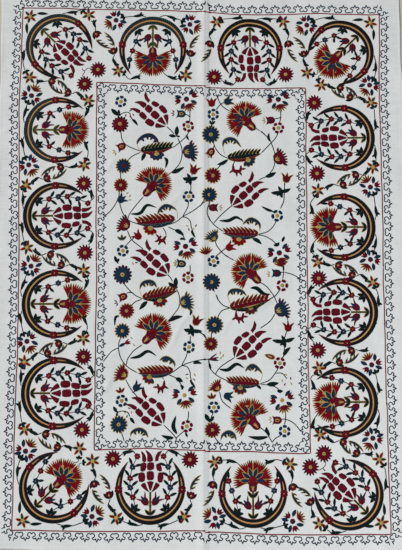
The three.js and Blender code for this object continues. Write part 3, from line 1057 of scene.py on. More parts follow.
def ray_fan(work, spot, rays, reach, spread_to=62):
    """Crimson pointed rays edged in ochre, spreading from one foot."""
    for angle in np.linspace(-spread_to, spread_to, rays):
        ray = spot.spot(0, 0, 90 + angle)
        leaf(work, ray, reach, 6.5, "crimson", edge="ochre", belly=0.35, edge_wide=1.7, count=6)
    half = np.array([(2, -2), (8, 2), (9, 7), (4, 10)], float)
    patch(work, spot(np.vstack([half, (half * [-1, 1])[::-1]])), "crimson", HIGH + 0.15)


# On an exploded blossom's own axes, its stem ahead: bearing, distance and lean of each navy bean
BEANS = ((38, 26, 10), (-36, 27, -14), (112, 28, 55), (-116, 28, -48))
BUDS = ((80, 17), (-76, 17))


def exploded_blossom(work, spot):
    """A two-coloured heart with loose navy beans, crimson buds and a fan of rays, on a stem from ahead."""
    disc(work, spot, 10.5, "crimson", count=14, lobes=7, depth=0.08)
    half_round(work, spot, 10.8)
    for angle, away, lean in BEANS:
        bean = spot.spot(*around(away - 12, angle), 90 + angle + lean * 0.4)
        leaf(work, bean, 31, 15.5, "navy", bend=lean * 0.12, belly=0.5)
    for angle, away in BUDS:
        mini_tulip(work, spot.spot(*around(away, angle), 90 + angle), 13, 24)
    ray_fan(work, spot.spot(0, -22, -90), 6, 31)
    fan_of_leaves(work, spot.spot(0, 38, -90), (-58, 0, 54), 20, 12, "green")


def rosette(work, spot, radius, body, edge, eye, lobed):
    """A round flower with a toothed or lobed edge and a ringed eye."""
    if lobed:
        shares = np.array([0, 0.16, 0.45 + 0.1 * TOOTH_LEAN, 0.72 + 0.1 * TOOTH_LEAN, 0.94])
        falls = np.array([0.24, 0.07, 0, 0.04, 0.2]) * radius
        angles = (360 / TEETH * (np.arange(TEETH)[:, None] + shares)).ravel()
        outline = around(np.tile(radius + 1.5 - falls, TEETH), angles)
    else:
        outline = sawtooth(radius + 2, radius * 0.32)
    outline = outline * work.chance.uniform(0.97, 1.03, (len(outline), 1))
    patch(work, spot(outline), edge, HIGH - 0.2)
    patch(work, spot(outline * (1 - 2.7 / radius)), body)
    disc(work, spot, radius * 0.25, eye, HIGH + 0.25)
    disc(work, spot, radius * 0.09, body if body != eye else "crimson", HIGH + 0.45, 8)


def border_rosette(work, spot):
    rosette(work, spot, 32, "crimson", "dark", "ochre", lobed=False)


def half_flower(work, spot):
    """A flower seen from the side: a crimson head with an ochre eye in a dark cup of two leaves."""
    for side in (-1, 1):
        leaf(work, spot.spot(0, -18, 90 + side * 44), 34, 14, "green", bend=-side * 6, belly=0.5)
    disc(work, spot, 13.5, "crimson", HIGH + 0.2, count=20, lobes=5, depth=0.2, turn=36)
    leaf(work, spot.spot(0, -9), 11, 8, "ochre", high=HIGH + 0.45, count=6)


def frond(work, spot, side):
    """A navy hook edged in ochre, with three spikes on its hollow side; it leans left where side is 1."""
    share = np.linspace(0, 1, 13)
    run = np.stack([side * (9 - 33 * share**1.8), 72 * share - 10 * share**3], axis=1)
    half = 4.6 * leaf_widths(13, 0.42)
    band(work, spot(run), half + 1.7, "ochre", HIGH - 0.22)
    for at, reach in ((0.10, 20), (0.34, 21), (0.58, 18)):
        place = run[round(at * 12)]
        spike = spot.spot(place[0] - side * 1, place[1], 90 + side * (64 + 26 * at))
        leaf(work, spike, reach, 5.8, "navy", edge="ochre", bend=-side * 3, belly=0.3, count=7, edge_wide=1.2)
    band(work, spot(run), half, "navy")


def notched_leaf(work, spot, side, long):
    """A green leaf along a stem, with a barb that points back from its far end."""
    leaf(work, spot, long, 13.5, "green", bend=side * 4, belly=0.55)
    leaf(work, spot.spot(-side * 3, long * 0.66, 90 + side * 62), 16, 10, "green", belly=0.35, count=6)


NOTCHED_LONG = 1.15  # how much longer a notched leaf is worked than it is asked for


def leafy_stem(work, spot, places, at, side, long, reverse=False):
    """A curved stem through places on a spot's axes, with a notched leaf part of the way along."""
    long = long * NOTCHED_LONG
    run = smooth(places, 8)
    row(work, spot(run), 4.0, "green")
    along = lengths(run)
    begin = along[-1] * at - long / 2
    start, after = place_at(run, along, begin), place_at(run, along, begin + long * 0.7)
    if reverse:
        start, after = after, start
    notched_leaf(work, spot.spot(*start, bearing(start, after)), side, long)


# The border's lesser flowers, in each crescent's axes: x to the right of the way that it opens, y along it.
# A tulip's far ones are rosettes and its near ones stars; a carnation's far ones are stars and its near
# ones exploded blossoms. Sides are half flowers, and corner crescents have one more star behind them.
Bed = namedtuple("Bed", "far near sides behind", defaults=(None,))
BEDS = (
    Bed(((-43, 181), (36, 186)), ((-175, -9), (173, 11)), ((-140, 74), (120, 87)), (-3, -169)),
    Bed(((137, 92), (-133, 110)), ((149, -117), (-150, -102)), ((159, 7), (-153, 16))),
    Bed(((145, 112), (-142, 101)), ((134, -115), (-135, -119)), ((162, -23), (-156, -24))),
    Bed(((37, 158), (-38, 154)), ((176, 18), (-176, 16)), ((103, 111), (-104, 108)), (1, -173)),
    Bed(((-121, 122), (142, 110)), ((-139, -104), (142, -110)), ((-152, 38), (152, 14))),
    Bed(((-129, 105), (146, 113)), ((-122, -123), (125, -114)), ((-151, -38), (154, -19))),
    Bed(((-131, 107), (134, 109)), ((-148, -99), (145, -108)), ((-153, 17), (155, 12))),
    Bed(((-139, 102), (139, 100)), ((-119, -126), (136, -119)), ((-153, -34), (156, -36))),
    Bed(((-36, 171), (33, 174)), ((-175, 20), (179, 29)), ((-102, 114), (101, 117)), (4, -167)),
    Bed(((-143, 113), (151, 109)), ((-129, -107), (130, -104)), ((-158, -20), (157, -22))),
    Bed(((-146, 116), (144, 108)), ((-145, -92), (151, -106)), ((-154, 29), (153, 20))),
    Bed(((-30, 178), (43, 176)), ((-158, 6), (178, 10)), ((-123, 89), (132, 91)), (12, -160)),
    Bed(((142, 108), (-145, 101)), ((144, -120), (-119, -123)), ((166, -33), (-151, -51))),
    Bed(((147, 95), (-140, 99)), ((160, -114), (-129, -108)), ((170, -9), (-153, 15))),
    Bed(((132, 99), (-148, 106)), ((116, -114),), ((146, -30), (-151, -23))),
    Bed(((131, 94), (-124, 93)), ((143, -112), (-138, -110)), ((153, 11), (-152, 2))),
)


def pick(places, side):
    """The place on one side of a crescent, 1 for its right, if there is one."""
    found = [place for place in places if place[0] * side > 0]
    return found[0] if found else None


def side_chain(work, spot, star, half, side):
    """A half flower beside a crescent, joined by a leafy stem to a star, with its frond beyond it."""
    way = 1 if half[1] > star[1] else -1
    out = side * 0.35
    half_flower(work, spot.spot(*half, bearing((0, 0), (out, way))))
    hook = spot.spot(half[0] + out * 14, half[1] + way * 15, bearing((0, 0), (side * 0.12, way)))
    frond(work, hook, side * -way)
    cup = (half[0] - out * 18, half[1] - way * 17)
    petal = (star[0] + (cup[0] - star[0]) * 0.28, star[1] + (cup[1] - star[1]) * 0.28)
    bow = (cup[0] + side * 8, (cup[1] + petal[1]) / 2 - way * 2)
    leafy_stem(work, spot, (cup, bow, petal), 0.62, -side * way, 37)


def straight_bed(work, spot, here, bed):
    """The lesser flowers round a crescent of the border's sides."""
    rim_far = CRESCENT_RADIUS * here.size + 2
    for side in (-1, 1):
        far, near, half = pick(bed.far, side), pick(bed.near, side), pick(bed.sides, side)
        back = (side * 27, -rim_far + 5)
        if near:
            leave = (near[0] - side * 22, near[1] - 12)
            leafy_stem(work, spot, (back, (side * 58, -rim_far + 1), leave), 0.48, side, 45, reverse=side > 0)
        if here.bloom == "tulip":
            if near:
                star_flower(work, spot.spot(*near, work.chance.uniform(0, 60)))
                fan_of_leaves(work, spot.spot(*leave, bearing(leave, near)), (-72, 0, 60), 19, 11, "green")
            border_rosette(work, spot.spot(*far, work.chance.uniform(0, 90)))
            last = TULIP_SPRIG[-1]
            meet = (far[0] - side * 26, far[1] + 12)
            rise = ((side * last[0], last[1]), (side * (last[0] + 26), last[1] + 24), meet)
            leafy_stem(work, spot, rise, 0.55, -side, 40)
            if half:
                side_chain(work, spot, near or (half[0], half[1] - 90), half, side)
        else:
            star_flower(work, spot.spot(*far, work.chance.uniform(0, 60)))
            meet = (far[0] - side * 22, far[1] + 8)
            rise = ((side * 44, 100), (side * 72, 121), (side * 96, 124), meet)
            leafy_stem(work, spot, rise, 0.5, -side, 42, reverse=side > 0)
            node = spot.spot(meet[0] - side * 6, meet[1] + 2, bearing(meet, far))
            fan_of_leaves(work, node, (-64, 0, 58), 17, 10, "green")
            if near:
                exploded_blossom(work, spot.spot(*near, bearing(near, leave)))
            side_chain(work, spot, far, half, side)


def corner_bed(work, spot, here, bed):
    """The lesser flowers round a crescent in one of the cloth's corners."""
    behind = bed.behind
    star_flower(work, spot.spot(*behind, 90))
    for side in (-1, 1):
        far, near, half = pick(bed.far, side), pick(bed.near, side), pick(bed.sides, side)
        tip = (behind[0] + side * 27, behind[1] + 10)
        leaf(work, spot.spot(*tip, 90 - side * 52), 48, 13, "green", bend=side * 8)
        from_back = around([CRESCENT_RADIUS], [180 + side * 50])[0]
        out = around([CRESCENT_RADIUS + 21], [180 + side * 68])[0]
        leave = (near[0] - side * 6, near[1] - 34)
        leafy_stem(work, spot, (from_back, out, leave), 0.5, side, 44, reverse=side > 0)
        node = spot.spot(leave[0], leave[1] + 2, bearing(leave, near))
        fan_of_leaves(work, node, (-66, 0, 58), 19, 11, "green")
        if here.bloom == "tulip":
            star_flower(work, spot.spot(*near, work.chance.uniform(0, 60)))
            border_rosette(work, spot.spot(*far, work.chance.uniform(0, 90)))
            right, up = far
            fork = [(side * 2, up - 50), (0, up - 36), (right * 0.4, up - 33), (right * 0.66, up - 22)]
            row(work, spot(smooth(fork, 4)), 3.0, "green")
            chain_from = near
        else:
            exploded_blossom(work, spot.spot(*near, bearing(near, leave)))
            star_flower(work, spot.spot(*far, work.chance.uniform(0, 60)))
            row(work, spot(smooth([(side * 16, 118), (side * 5, 132), (side * 14, 146)], 4)), 3.0, "green")
            node = (side * 10, 143)
            fan_of_leaves(work, spot.spot(*node, bearing(node, far)), (-64, 0, 58), 15, 10, "green")
            chain_from = far
        corner_chain(work, spot, chain_from, half, side)


def corner_chain(work, spot, star, half, side):
    """A half flower beside a corner crescent's horn, joined to a star, its frond going the other way."""
    away = np.array(half, float) - star
    away = away / np.linalg.norm(away)
    out = np.array([side, 0.4]) / 1.08
    ahead = bearing((0, 0), away + out * 0.3)
    half_flower(work, spot.spot(*half, ahead))
    base = np.array(half) + away * 15
    frond(work, spot.spot(*base, bearing((0, 0), away + out * 0.15)), side * (1 if away[1] < 0 else -1))
    cup = np.array(half) - away * 16
    petal = np.array(star) + away * 26
    bow = (cup + petal) / 2 + out * 10
    leafy_stem(work, spot, (cup, bow, petal), 0.6, side, 34)


# The red lines, and the scroll that runs along them, as x and y of each line's bends


LINE_STEP = 11.0  # between two places of a line, in millimetres


def line_run(corners):
    """A wavering line through its bends, close enough spaced to be smooth."""
    points = np.asarray(corners, float)
    along = lengths(points)
    count = max(2, round(along[-1] / LINE_STEP))
    near_ends = np.array([1.0, 2.2, 4.0, 7.0])
    at = np.unique(np.concatenate([np.linspace(0, along[-1], count + 1), near_ends, along[-1] - near_ends]))
    run = place_at(points, along, at)
    waver = 0.9 * np.sin(at / 61) + 0.5 * np.sin(at / 23 + 1)
    keep = np.minimum(1, np.minimum(at, along[-1] - at) / 40)
    return run + sideways(run) * (waver * keep)[:, None]


OUTER_LINE = (
    ((-720, 1034), (-452, 1031), (-7, 1023), (18, 1021)),
    ((16, 1020), (151, 1009), (399, 1015), (720, 1013)),
    ((720, 1013), (713, 619), (716, 254), (713, -143), (715, -530), (719, -908), (720, -1034)),
    ((720, -1034), (373, -1035), (11, -1023)),
    ((13, -1017), (-349, -1020), (-720, -1013)),
    (
        *((-720, -1013), (-718, -902), (-719, -678), (-715, -432)),
        *((-713, -142), (-720, 252), (-727, 615), (-720, 1034)),
    ),
)
INNER_LINE = (
    ((-420, 727), (-7, 714), (17, 712)),
    ((15, 707), (154, 703), (395, 708), (417, 706)),
    ((417, 706), (415, 253), (414, -143), (414, -529), (418, -731)),
    ((418, -731), (377, -732), (185, -724), (12, -722)),
    ((14, -718), (-7, -718), (-199, -711), (-412, -716)),
    ((-412, -716), (-413, -432), (-411, -142), (-416, 252), (-420, 727)),
)
# How far the clouds keep from the seam, and from the corners of the outer and the inner line
SEAM_CLEAR = 5
OUTER_CLEAR = 6
INNER_CLEAR = 42
SCROLL_PITCH = 45.5
SCROLL_THREAD = 4.7
LINE_THREAD = 5.2
LINE_HIGH = 0.55
# Half of one cloud of the scroll: x along it from the cloud's dip, y out from the red line. Then the small
# arc below its hook, and one side of the spike between two clouds.
CLOUD = ((0, 13), (2.6, 9), (6.5, 7), (12, 9), (14.8, 15.5), (12.2, 20.5), (5, 24))
SMALL_ARC = ((5, 24), (8, 28.5), (12, 31), (16, 29), (17.8, 26))
SPIKE_SIDE = ((17.8, 26), (20.4, 34), (22.9, 41))


def scroll(work, corners, outward, start, end):
    """Clouds along one line of a border, clear of its start and its end, with a spike between each two."""
    points = np.asarray(corners, float)
    along = lengths(points)
    clear = along[-1] - start - end
    count = round(clear / SCROLL_PITCH)
    pitch = clear / count
    for order in range(count):
        at = start + pitch * (order + 0.5)
        place, next_place = place_at(points, along, at), place_at(points, along, at + 8)
        ahead = (next_place - place) / np.linalg.norm(next_place - place)
        scroll_cloud(work, place, ahead, np.array([-ahead[1], ahead[0]]) * outward, pitch / SCROLL_PITCH)


def scroll_cloud(work, place, ahead, out, stretch):
    """One cloud with half a spike on each side of it, as a single row of stitches."""
    loose = work.chance.uniform(-1, 1, 4)
    half = np.vstack([smooth(CLOUD, 3)[:-1], smooth(SMALL_ARC, 2)[:-1], SPIKE_SIDE])
    run = np.vstack([half[:0:-1] * [-1, 1], half])
    run[:, 1] = 22 + (run[:, 1] - 22) * (1 + 0.06 * loose[0]) + 1.2 * loose[1]
    run[:, 0] = run[:, 0] * stretch + loose[2] * np.clip((28 - run[:, 1]) / 10, 0, 1)
    run[:, 1] -= (2 + 2 * loose[3]) * np.clip(1 - np.abs(run[:, 0]) / 4, 0, 1)
    row(work, place + run[:, :1] * ahead + run[:, 1:] * out, SCROLL_THREAD, "navy")


def scroll_corner(work, corner, outward):
    """The cloud that turns the scroll at a corner; outward is 1 where the scroll is outside its line."""
    away = np.sign(corner) * outward / math.sqrt(2)
    ahead = np.array([-away[1], away[0]])
    scroll_cloud(work, corner + away * (7 if outward < 0 else -5), ahead, away, 0.9)


# The middle field: its motifs, each growing from a spot or drawn through places in millimetres


FIELD_AXES = Spot(0, 0)


def on_field(*places):
    return FIELD_AXES(places)


def heading_to(start, end):
    """A spot at one place of the field that grows towards another."""
    return Spot(*start, bearing(start, end))


LEAF_FULL = 1.3  # how much wider a leaf of the field is worked than its table says
STEM_WIDE = 4.3


def blade(work, places, wide, belly=0.45):
    """A pointed green leaf whose middle runs through places of the field."""
    run = smooth(on_field(*places), 5)
    band(work, run, 0.5 * LEAF_FULL * wide * leaf_widths(len(run), belly), "green")


def ring_flower(work, spot, name):
    """An ochre eye with curved petals lying loose round it."""
    petals = 6 if work.chance.random() < 0.7 else 5
    disc(work, spot, 8.5, "ochre")
    first = work.chance.uniform(0, 60)
    for order in range(petals):
        turn = first + order * 360 / petals + np.linspace(-1, 1, 7) * (24 if petals == 6 else 28)
        half = 6.0 * np.array([0.6, 0.92, 1, 1.05, 1, 0.92, 0.6])
        band(work, spot(around(np.full(7, 18), turn)), half, name)


def thistle(work, spot, body, edge):
    """A cup with a deeply toothed rim and an ochre V at its foot."""
    angles, reach = [], []
    for angle in np.linspace(-46, 46, 8):
        angles += [angle - 5.8, angle - 2.6, angle + 2.2, angle + 4.8]
        reach += [44, 58 + work.chance.uniform(-4, 2), 59, 45]
    cup = np.array([(-28, 30), (-27, 16), (-19, 4), (0, -3), (19, 4), (27, 16), (28, 30)], float)
    outline = np.vstack([cup, around(reach, angles)])
    middle = spot.point(0, 24)
    patch(work, spot(np.array([0, 24]) + (outline - [0, 24]) * 1.04), edge, HIGH - 0.22, middle=middle)
    patch(work, spot(np.array([0, 24]) + (outline - [0, 24]) * 0.92), body, middle=middle)
    for angle in (-26, 0, 26):
        leaf(work, spot.spot(0, 1, 90 + angle), 28, 6.5, "ochre", high=HIGH + 0.3, count=5)


def saz_leaf(work, saz):
    """A long toothed leaf from foot to tip, its curl above it and half a flower below."""
    spot, long = heading_to(saz.foot, saz.tip), math.dist(saz.foot, saz.tip)
    above = np.array(saz.curl[2], float) - saz.foot
    ahead = np.array(saz.tip, float) - saz.foot
    up = 1 if ahead[0] * above[1] - ahead[1] * above[0] < 0 else -1
    share = np.linspace(0, 1, 15)
    belly = np.sin(np.pi * share**0.85)

    def along(x):
        return spot(np.stack([up * x, share * long], axis=1))

    away = np.array(saz.half, float) - (np.array(saz.foot) + saz.tip) / 2
    half_home = Spot(*saz.half, math.degrees(math.atan2(away[1], away[0])))
    for order, angle in enumerate(np.linspace(-75, 75, 6)):
        petal = half_home.spot(0, -7, 90 + angle)
        leaf(work, petal, 33, 16, saz.petals[order % 2], edge=saz.edge, belly=0.62, high=HIGH - 0.1, count=6)
    disc(work, half_home.spot(0, -5), 12, "ochre", HIGH + 0.1, 12)
    band(work, along(-0.08 * long * belly), 0.085 * long * belly + 1, "ochre", HIGH - 0.1)
    band(work, along(-0.105 * long * belly), 0.058 * long * belly + 0.4, saz.lower, HIGH + 0.12)
    for at in np.linspace(0.03, 0.86, 9):
        tall = long * (0.17 + 0.11 * math.sin(math.pi * at**0.7))
        tooth = spot.spot(0, at * long, 90 - up * 56)
        style = {"belly": 0.25, "count": 6, "high": HIGH + 0.1, "edge_wide": 1.1}
        leaf(work, tooth, tall, 0.088 * long, saz.upper, edge="ochre", bend=up * 6, **style)
    band(work, along(-0.012 * long * belly), 0.052 * long * belly + 0.6, saz.upper, HIGH + 0.35)
    zig = np.linspace(0.07, 0.93, 19)
    swing = np.where(np.arange(19) % 2, -0.055, -0.11) * long * np.sin(np.pi * zig)
    row(work, spot(np.stack([up * swing, zig * long], axis=1)), 2.2, "ochre", HIGH + 0.35)
    curl(work, saz.curl, "crimson" if saz.upper == "green" and saz.foot[0] < 0 else "ochre")


def curl(work, places, edge):
    """A thin ochre line that loops over and ends as a navy hook, scalloped on its hollow side."""
    run = smooth(on_field(*places), 6)
    cut = len(run) // 4 if len(places) > 5 else 2
    row(work, run[: cut + 2], 2.4, "ochre", 0.55)
    hook = run[cut:]
    half = 7.0 * leaf_widths(len(hook), 0.5)
    sides = sideways(hook)
    turning = np.cross(hook[-1] - hook[0], hook[len(hook) // 2] - hook[0])
    hollow = -np.sign(turning)
    band(work, hook, half + 1.9, edge, HIGH - 0.2)
    ahead = np.gradient(hook, axis=0)
    for at in (0.26, 0.44, 0.62, 0.80):
        place = round(at * (len(hook) - 1))
        lean = math.degrees(math.atan2(*ahead[place][::-1]))
        spike = Spot(0, 0, lean + hollow * 92)
        spike.home = hook[place] + sides[place] * hollow * 2
        leaf(work, spike, 16, 9, "navy", edge=edge, belly=0.3, count=6)
    band(work, hook, half, "navy")


CUP = ((5, 0), (13, 7), (15, 19), (13, 28), (18, 38), (9, 34))


def bud(work, here):
    """A cup with a paler heart, and three loose stitches before its mouth, or a slender drop without them."""
    spot = Spot(here.x, here.y, here.grows)
    if here.spray is None:
        leaf(work, spot.spot(0, -4), 44, 18, here.body, belly=0.4, edge="ochre", edge_wide=2.2)
        leaf(work, spot.spot(0, 6), 24, 6, here.inner, belly=0.4, high=HIGH + 0.25)
        return
    middle = spot.point(0, 18)
    patch(work, spot(mirrored(CUP, 32, 0)), here.body, middle=middle)
    leaf(work, spot.spot(0, 6), 22, 15, here.inner, belly=0.55, high=HIGH + 0.25)
    leaf(work, spot.spot(0, 9), 17, 7, "crimson", belly=0.5, high=HIGH + 0.45, count=5)
    home = Spot(*here.at, here.grows)
    for angle in (-42, 0, 42):
        leaf(work, home.spot(0, -10, 90 + angle).spot(0, 4), 15, 5, here.spray, count=5)


def burst(work, here):
    """A heart with loose beans and buds round it and a fan of rays below."""
    spot = heading_to(here.heart, here.rays).spot(0, 0, 270)
    if here.middle == "ochre":
        disc(work, spot, 8.5, "ochre")
    else:
        disc(work, spot, 11, "crimson", count=14, lobes=7, depth=0.08)
        half_round(work, spot, 11.4)
    for angle, away in ((52, 19), (-52, 19), (128, 16), (-128, 16)):
        leaf(work, spot.spot(*around(away, angle), 90 + angle * 1.05), 31, 15, "navy", belly=0.5)
    for angle in (84, -84):
        mini_tulip(work, spot.spot(*around(24, angle), 90 + angle * 0.9), 14, 25)
    ray_fan(work, spot.spot(0, -21, 270), 7, 33, 66)


def hook_flower(work, places):
    """A crimson hook with spikes on its back, like half a wreath."""
    run = smooth(on_field(*places), 7)
    share = np.linspace(0, 1, len(run))
    band(work, run, 1.5 + 6.2 * np.sin(np.pi * np.minimum(1, share**0.8 * 0.93)), "crimson")
    turning = np.sign(np.cross(run[len(run) // 2] - run[0], run[-1] - run[0]))
    sides = sideways(run)
    for at in (0.3, 0.47, 0.64, 0.82):
        place = round(at * (len(run) - 1))
        out = -turning * sides[place]
        spike = Spot(0, 0, math.degrees(math.atan2(out[1], out[0])) + turning * 14)
        spike.home = run[place] + out * 3
        leaf(work, spike, 19, 9, "crimson", belly=0.3, count=6)


def cross_leaves(work, places):
    """Two long leaves out from a stem with a short spike above and below."""
    middle, left, right = (np.array(place, float) for place in places)
    for tip, side in ((left, 1), (right, -1)):
        bow = (middle * 0.5 + tip * 0.5) + [0, -3]
        blade(work, (middle + [side * 5, 0], bow, tip), 13)
    blade(work, (middle + [8, -4], middle + [-2, 9], middle + [-10, 24]), 11)
    blade(work, (middle + [-2, 5], middle + [1, -10], middle + [5, -26]), 13)
    blade(work, (middle + [4, 2], middle + [-8, -9], middle + [-17, -17]), 9)


def trefoil(work, places):
    """Three leaves from one node of a stem."""
    node, *tips = places
    for tip in tips:
        bow = (np.array(node, float) + tip) / 2
        blade(work, (node, bow, tip), 2 + 0.29 * math.dist(node, tip), belly=0.5)


FIELD_TULIP_HALF = ((3, -1), (11, 3), (14, 11), (15, 20), (24, 35), (12, 30), (6.5, 24))


def field_tulip(work, spot, name, edge):
    """A small tulip of three curved points over a round foot."""
    outline = mirrored(FIELD_TULIP_HALF, 40)
    middle = spot.point(0, 15)
    if edge:
        patch(work, spot([0, 15] + (outline - [0, 15]) * 1.13), edge, HIGH - 0.2, middle=middle)
    patch(work, spot(outline), name, middle=middle)


def open_tulip(work, spot, cup, petals):
    """A slender tulip that stands open: three narrow petals, over a long cup or straight from the stalk."""
    seat = 24 if cup else 0
    if cup:
        leaf(work, spot, 31, 13, cup, belly=0.5)
    for name, angle, wide in zip(petals, (20, -3, -21), (6, 7, 8)):
        leaf(work, spot.spot(0, seat, 90 + angle), 42 - 0.6 * seat, wide, name, belly=0.5)


Rosette = namedtuple("Rosette", "x y radius body edge eye")
Thistle = namedtuple("Thistle", "x y grows body edge size")
Saz = namedtuple("Saz", "foot tip upper lower curl half petals edge")
Bud = namedtuple("Bud", "x y grows body inner spray at")
Burst = namedtuple("Burst", "heart rays middle")
# The places that each stem of the field runs through
STEMS = (
    ((-322, 529), (-316, 494), (-296, 470), (-242, 447)),
    ((-242, 444), (-273, 429), (-295, 409), (-305, 391)),
    ((-321, 368), (-321, 345), (-320, 323)),
    ((-325, 289), (-329, 260), (-350, 220), (-377, 193), (-390, 195)),
    ((-140, 549), (-122, 532), (-110, 518)),
    ((-96, 503), (-79, 458), (-82, 412), (-104, 377), (-146, 343)),
    ((-54, 533), (-55, 519), (-68, 501), (-113, 463)),
    ((-48, 623), (-47, 582), (-52, 559)),
    ((-47, 586), (-57, 595), (-68, 598)),
    ((-230, 266), (-260, 230), (-285, 196), (-292, 173)),
    ((-325, 243), (-313, 204), (-291, 173), (-254, 157)),
    ((-132, 153), (-101, 165), (-76, 185), (-31, 211), (14, 246)),
    ((-76, 185), (-59, 181), (-45, 166), (-41, 143), (-28, 107)),
    ((-52, 248), (-56, 222), (-76, 186)),
    ((-44, 322), (-43, 299), (-48, 279)),
    ((-40, 350), (-36, 363)),
    ((-328, 562), (-332, 589), (-311, 604), (-290, 604), (-281, 584), (-269, 567)),
    ((-154, 142), (-143, 125), (-140, 111)),
    ((-134, 145), (-98, 128), (-73, 109), (-67, 90)),
    ((-291, 179), (-299, 162)),
    ((-293, 131), (-276, 95), (-240, 65), (-231, 56)),
    ((-265, 103), (-284, 86), (-304, 64)),
    ((-302, 476), (-312, 468)),
    ((-73, 442), (-78, 441)),
    ((-309, -72), (-286, -101), (-260, -124), (-231, -138)),
    ((-266, -116), (-281, -113), (-295, -116)),
    ((-234, -140), (-260, -150), (-280, -171)),
    ((-135, -42), (-123, -55), (-114, -70)),
    ((-100, -96), (-88, -128), (-89, -168), (-111, -201), (-134, -227)),
    ((-46, -4), (-46, -30), (-53, -45)),
    ((-314, -287), (-323, -316), (-316, -362), (-290, -399), (-249, -424)),
    ((-322, -327), (-348, -340), (-368, -363), (-382, -381)),
    ((-230, -315), (-264, -339), (-287, -370), (-293, -396)),
    ((16, -370), (-35, -381), (-76, -396), (-116, -424)),
    ((-44, -281), (-46, -310)),
    ((-30, -243), (-24, -231)),
    ((-6, -266), (16, -289)),
    ((-56, -347), (-63, -367), (-79, -396)),
    ((-76, -396), (-56, -402), (-46, -422), (-44, -442), (-30, -482)),
    ((-128, -431), (-99, -445), (-81, -468), (-73, -488)),
    ((-154, -435), (-148, -449)),
    ((-295, -448), (-272, -488), (-231, -535)),
    ((-254, -493), (-269, -499)),
    ((-311, -644), (-305, -661), (-298, -683)),
    ((-325, -599), (-328, -579), (-308, -569), (-285, -574), (-277, -590)),
    ((-147, -622), (-121, -647), (-99, -672), (-103, -687)),
    ((-67, -644), (-84, -658), (-101, -674)),
    ((-51, -570), (-52, -593), (-58, -613)),
    ((-85, -157), (-89, -158)),
    ((62, 679), (70, 651), (87, 628), (112, 611)),
    ((56, 616), (78, 641), (98, 649)),
    ((44, 578), (40, 546), (37, 529)),
    ((43, 492), (55, 460), (75, 435), (103, 420)),
    ((50, 472), (45, 457)),
    ((100, 415), (72, 389), (55, 369)),
    ((131, 410), (125, 393)),
    ((211, 545), (242, 524), (270, 495), (287, 453), (291, 424), (286, 384), (263, 352), (225, 333)),
    ((307, 531), (296, 505), (270, 475), (236, 440)),
    ((315, 620), (316, 586), (311, 565)),
    ((315, 586), (302, 582), (291, 581)),
    ((325, 686), (318, 673)),
    ((329, 328), (327, 288), (324, 248), (310, 217)),
    ((32, 243), (22, 215), (25, 187), (49, 153), (88, 125)),
    ((123, 232), (99, 213), (71, 187), (46, 159)),
    ((164, 163), (155, 179)),
    ((219, 115), (256, 125), (281, 146), (298, 177)),
    ((222, 114), (250, 108), (278, 92), (297, 73)),
    ((52, 97), (60, 69), (88, 36), (129, 11)),
    ((99, 64), (77, 47), (54, 27)),
    ((-7, 226), (4, 243), (15, 260)),
    ((316, 3), (320, -28)),
    ((47, -102), (63, -140), (83, -163), (112, -174)),
    ((112, -173), (77, -186), (57, -219)),
    ((224, -70), (256, -93), (282, -128), (295, -157)),
    ((320, 7), (322, -22), (317, -63)),
    ((324, -34), (359, -44), (389, -62), (400, -69)),
    ((324, -34), (310, -34)),
    ((306, -102), (288, -125), (262, -141)),
    ((133, -180), (136, -188)),
    ((287, -195), (264, -227), (226, -254)),
    ((325, -195), (335, -221), (331, -261), (321, -296), (320, -354), (309, -368)),
    ((38, -259), (36, -294)),
    ((-10, -269), (7, -277), (22, -297)),
    ((-10, -374), (25, -372), (59, -372)),
    ((26, -372), (32, -406), (59, -435), (103, -457)),
    ((129, -365), (94, -386), (68, -406), (51, -431)),
    ((224, -467), (262, -452), (288, -420), (300, -397)),
    ((285, -426), (311, -427), (330, -448)),
    ((227, -469), (262, -472), (291, -483), (305, -503)),
    ((68, -495), (79, -532), (114, -562)),
    ((323, -571), (322, -602), (318, -622)),
    ((321, -600), (353, -616), (381, -647)),
    ((321, -601), (307, -601)),
    ((220, -629), (249, -654), (272, -693)),
    ((309, -659), (283, -674), (270, -689)),
    ((46, -662), (56, -679), (71, -694)),
    ((45, -572), (36, -594), (30, -614)),
)
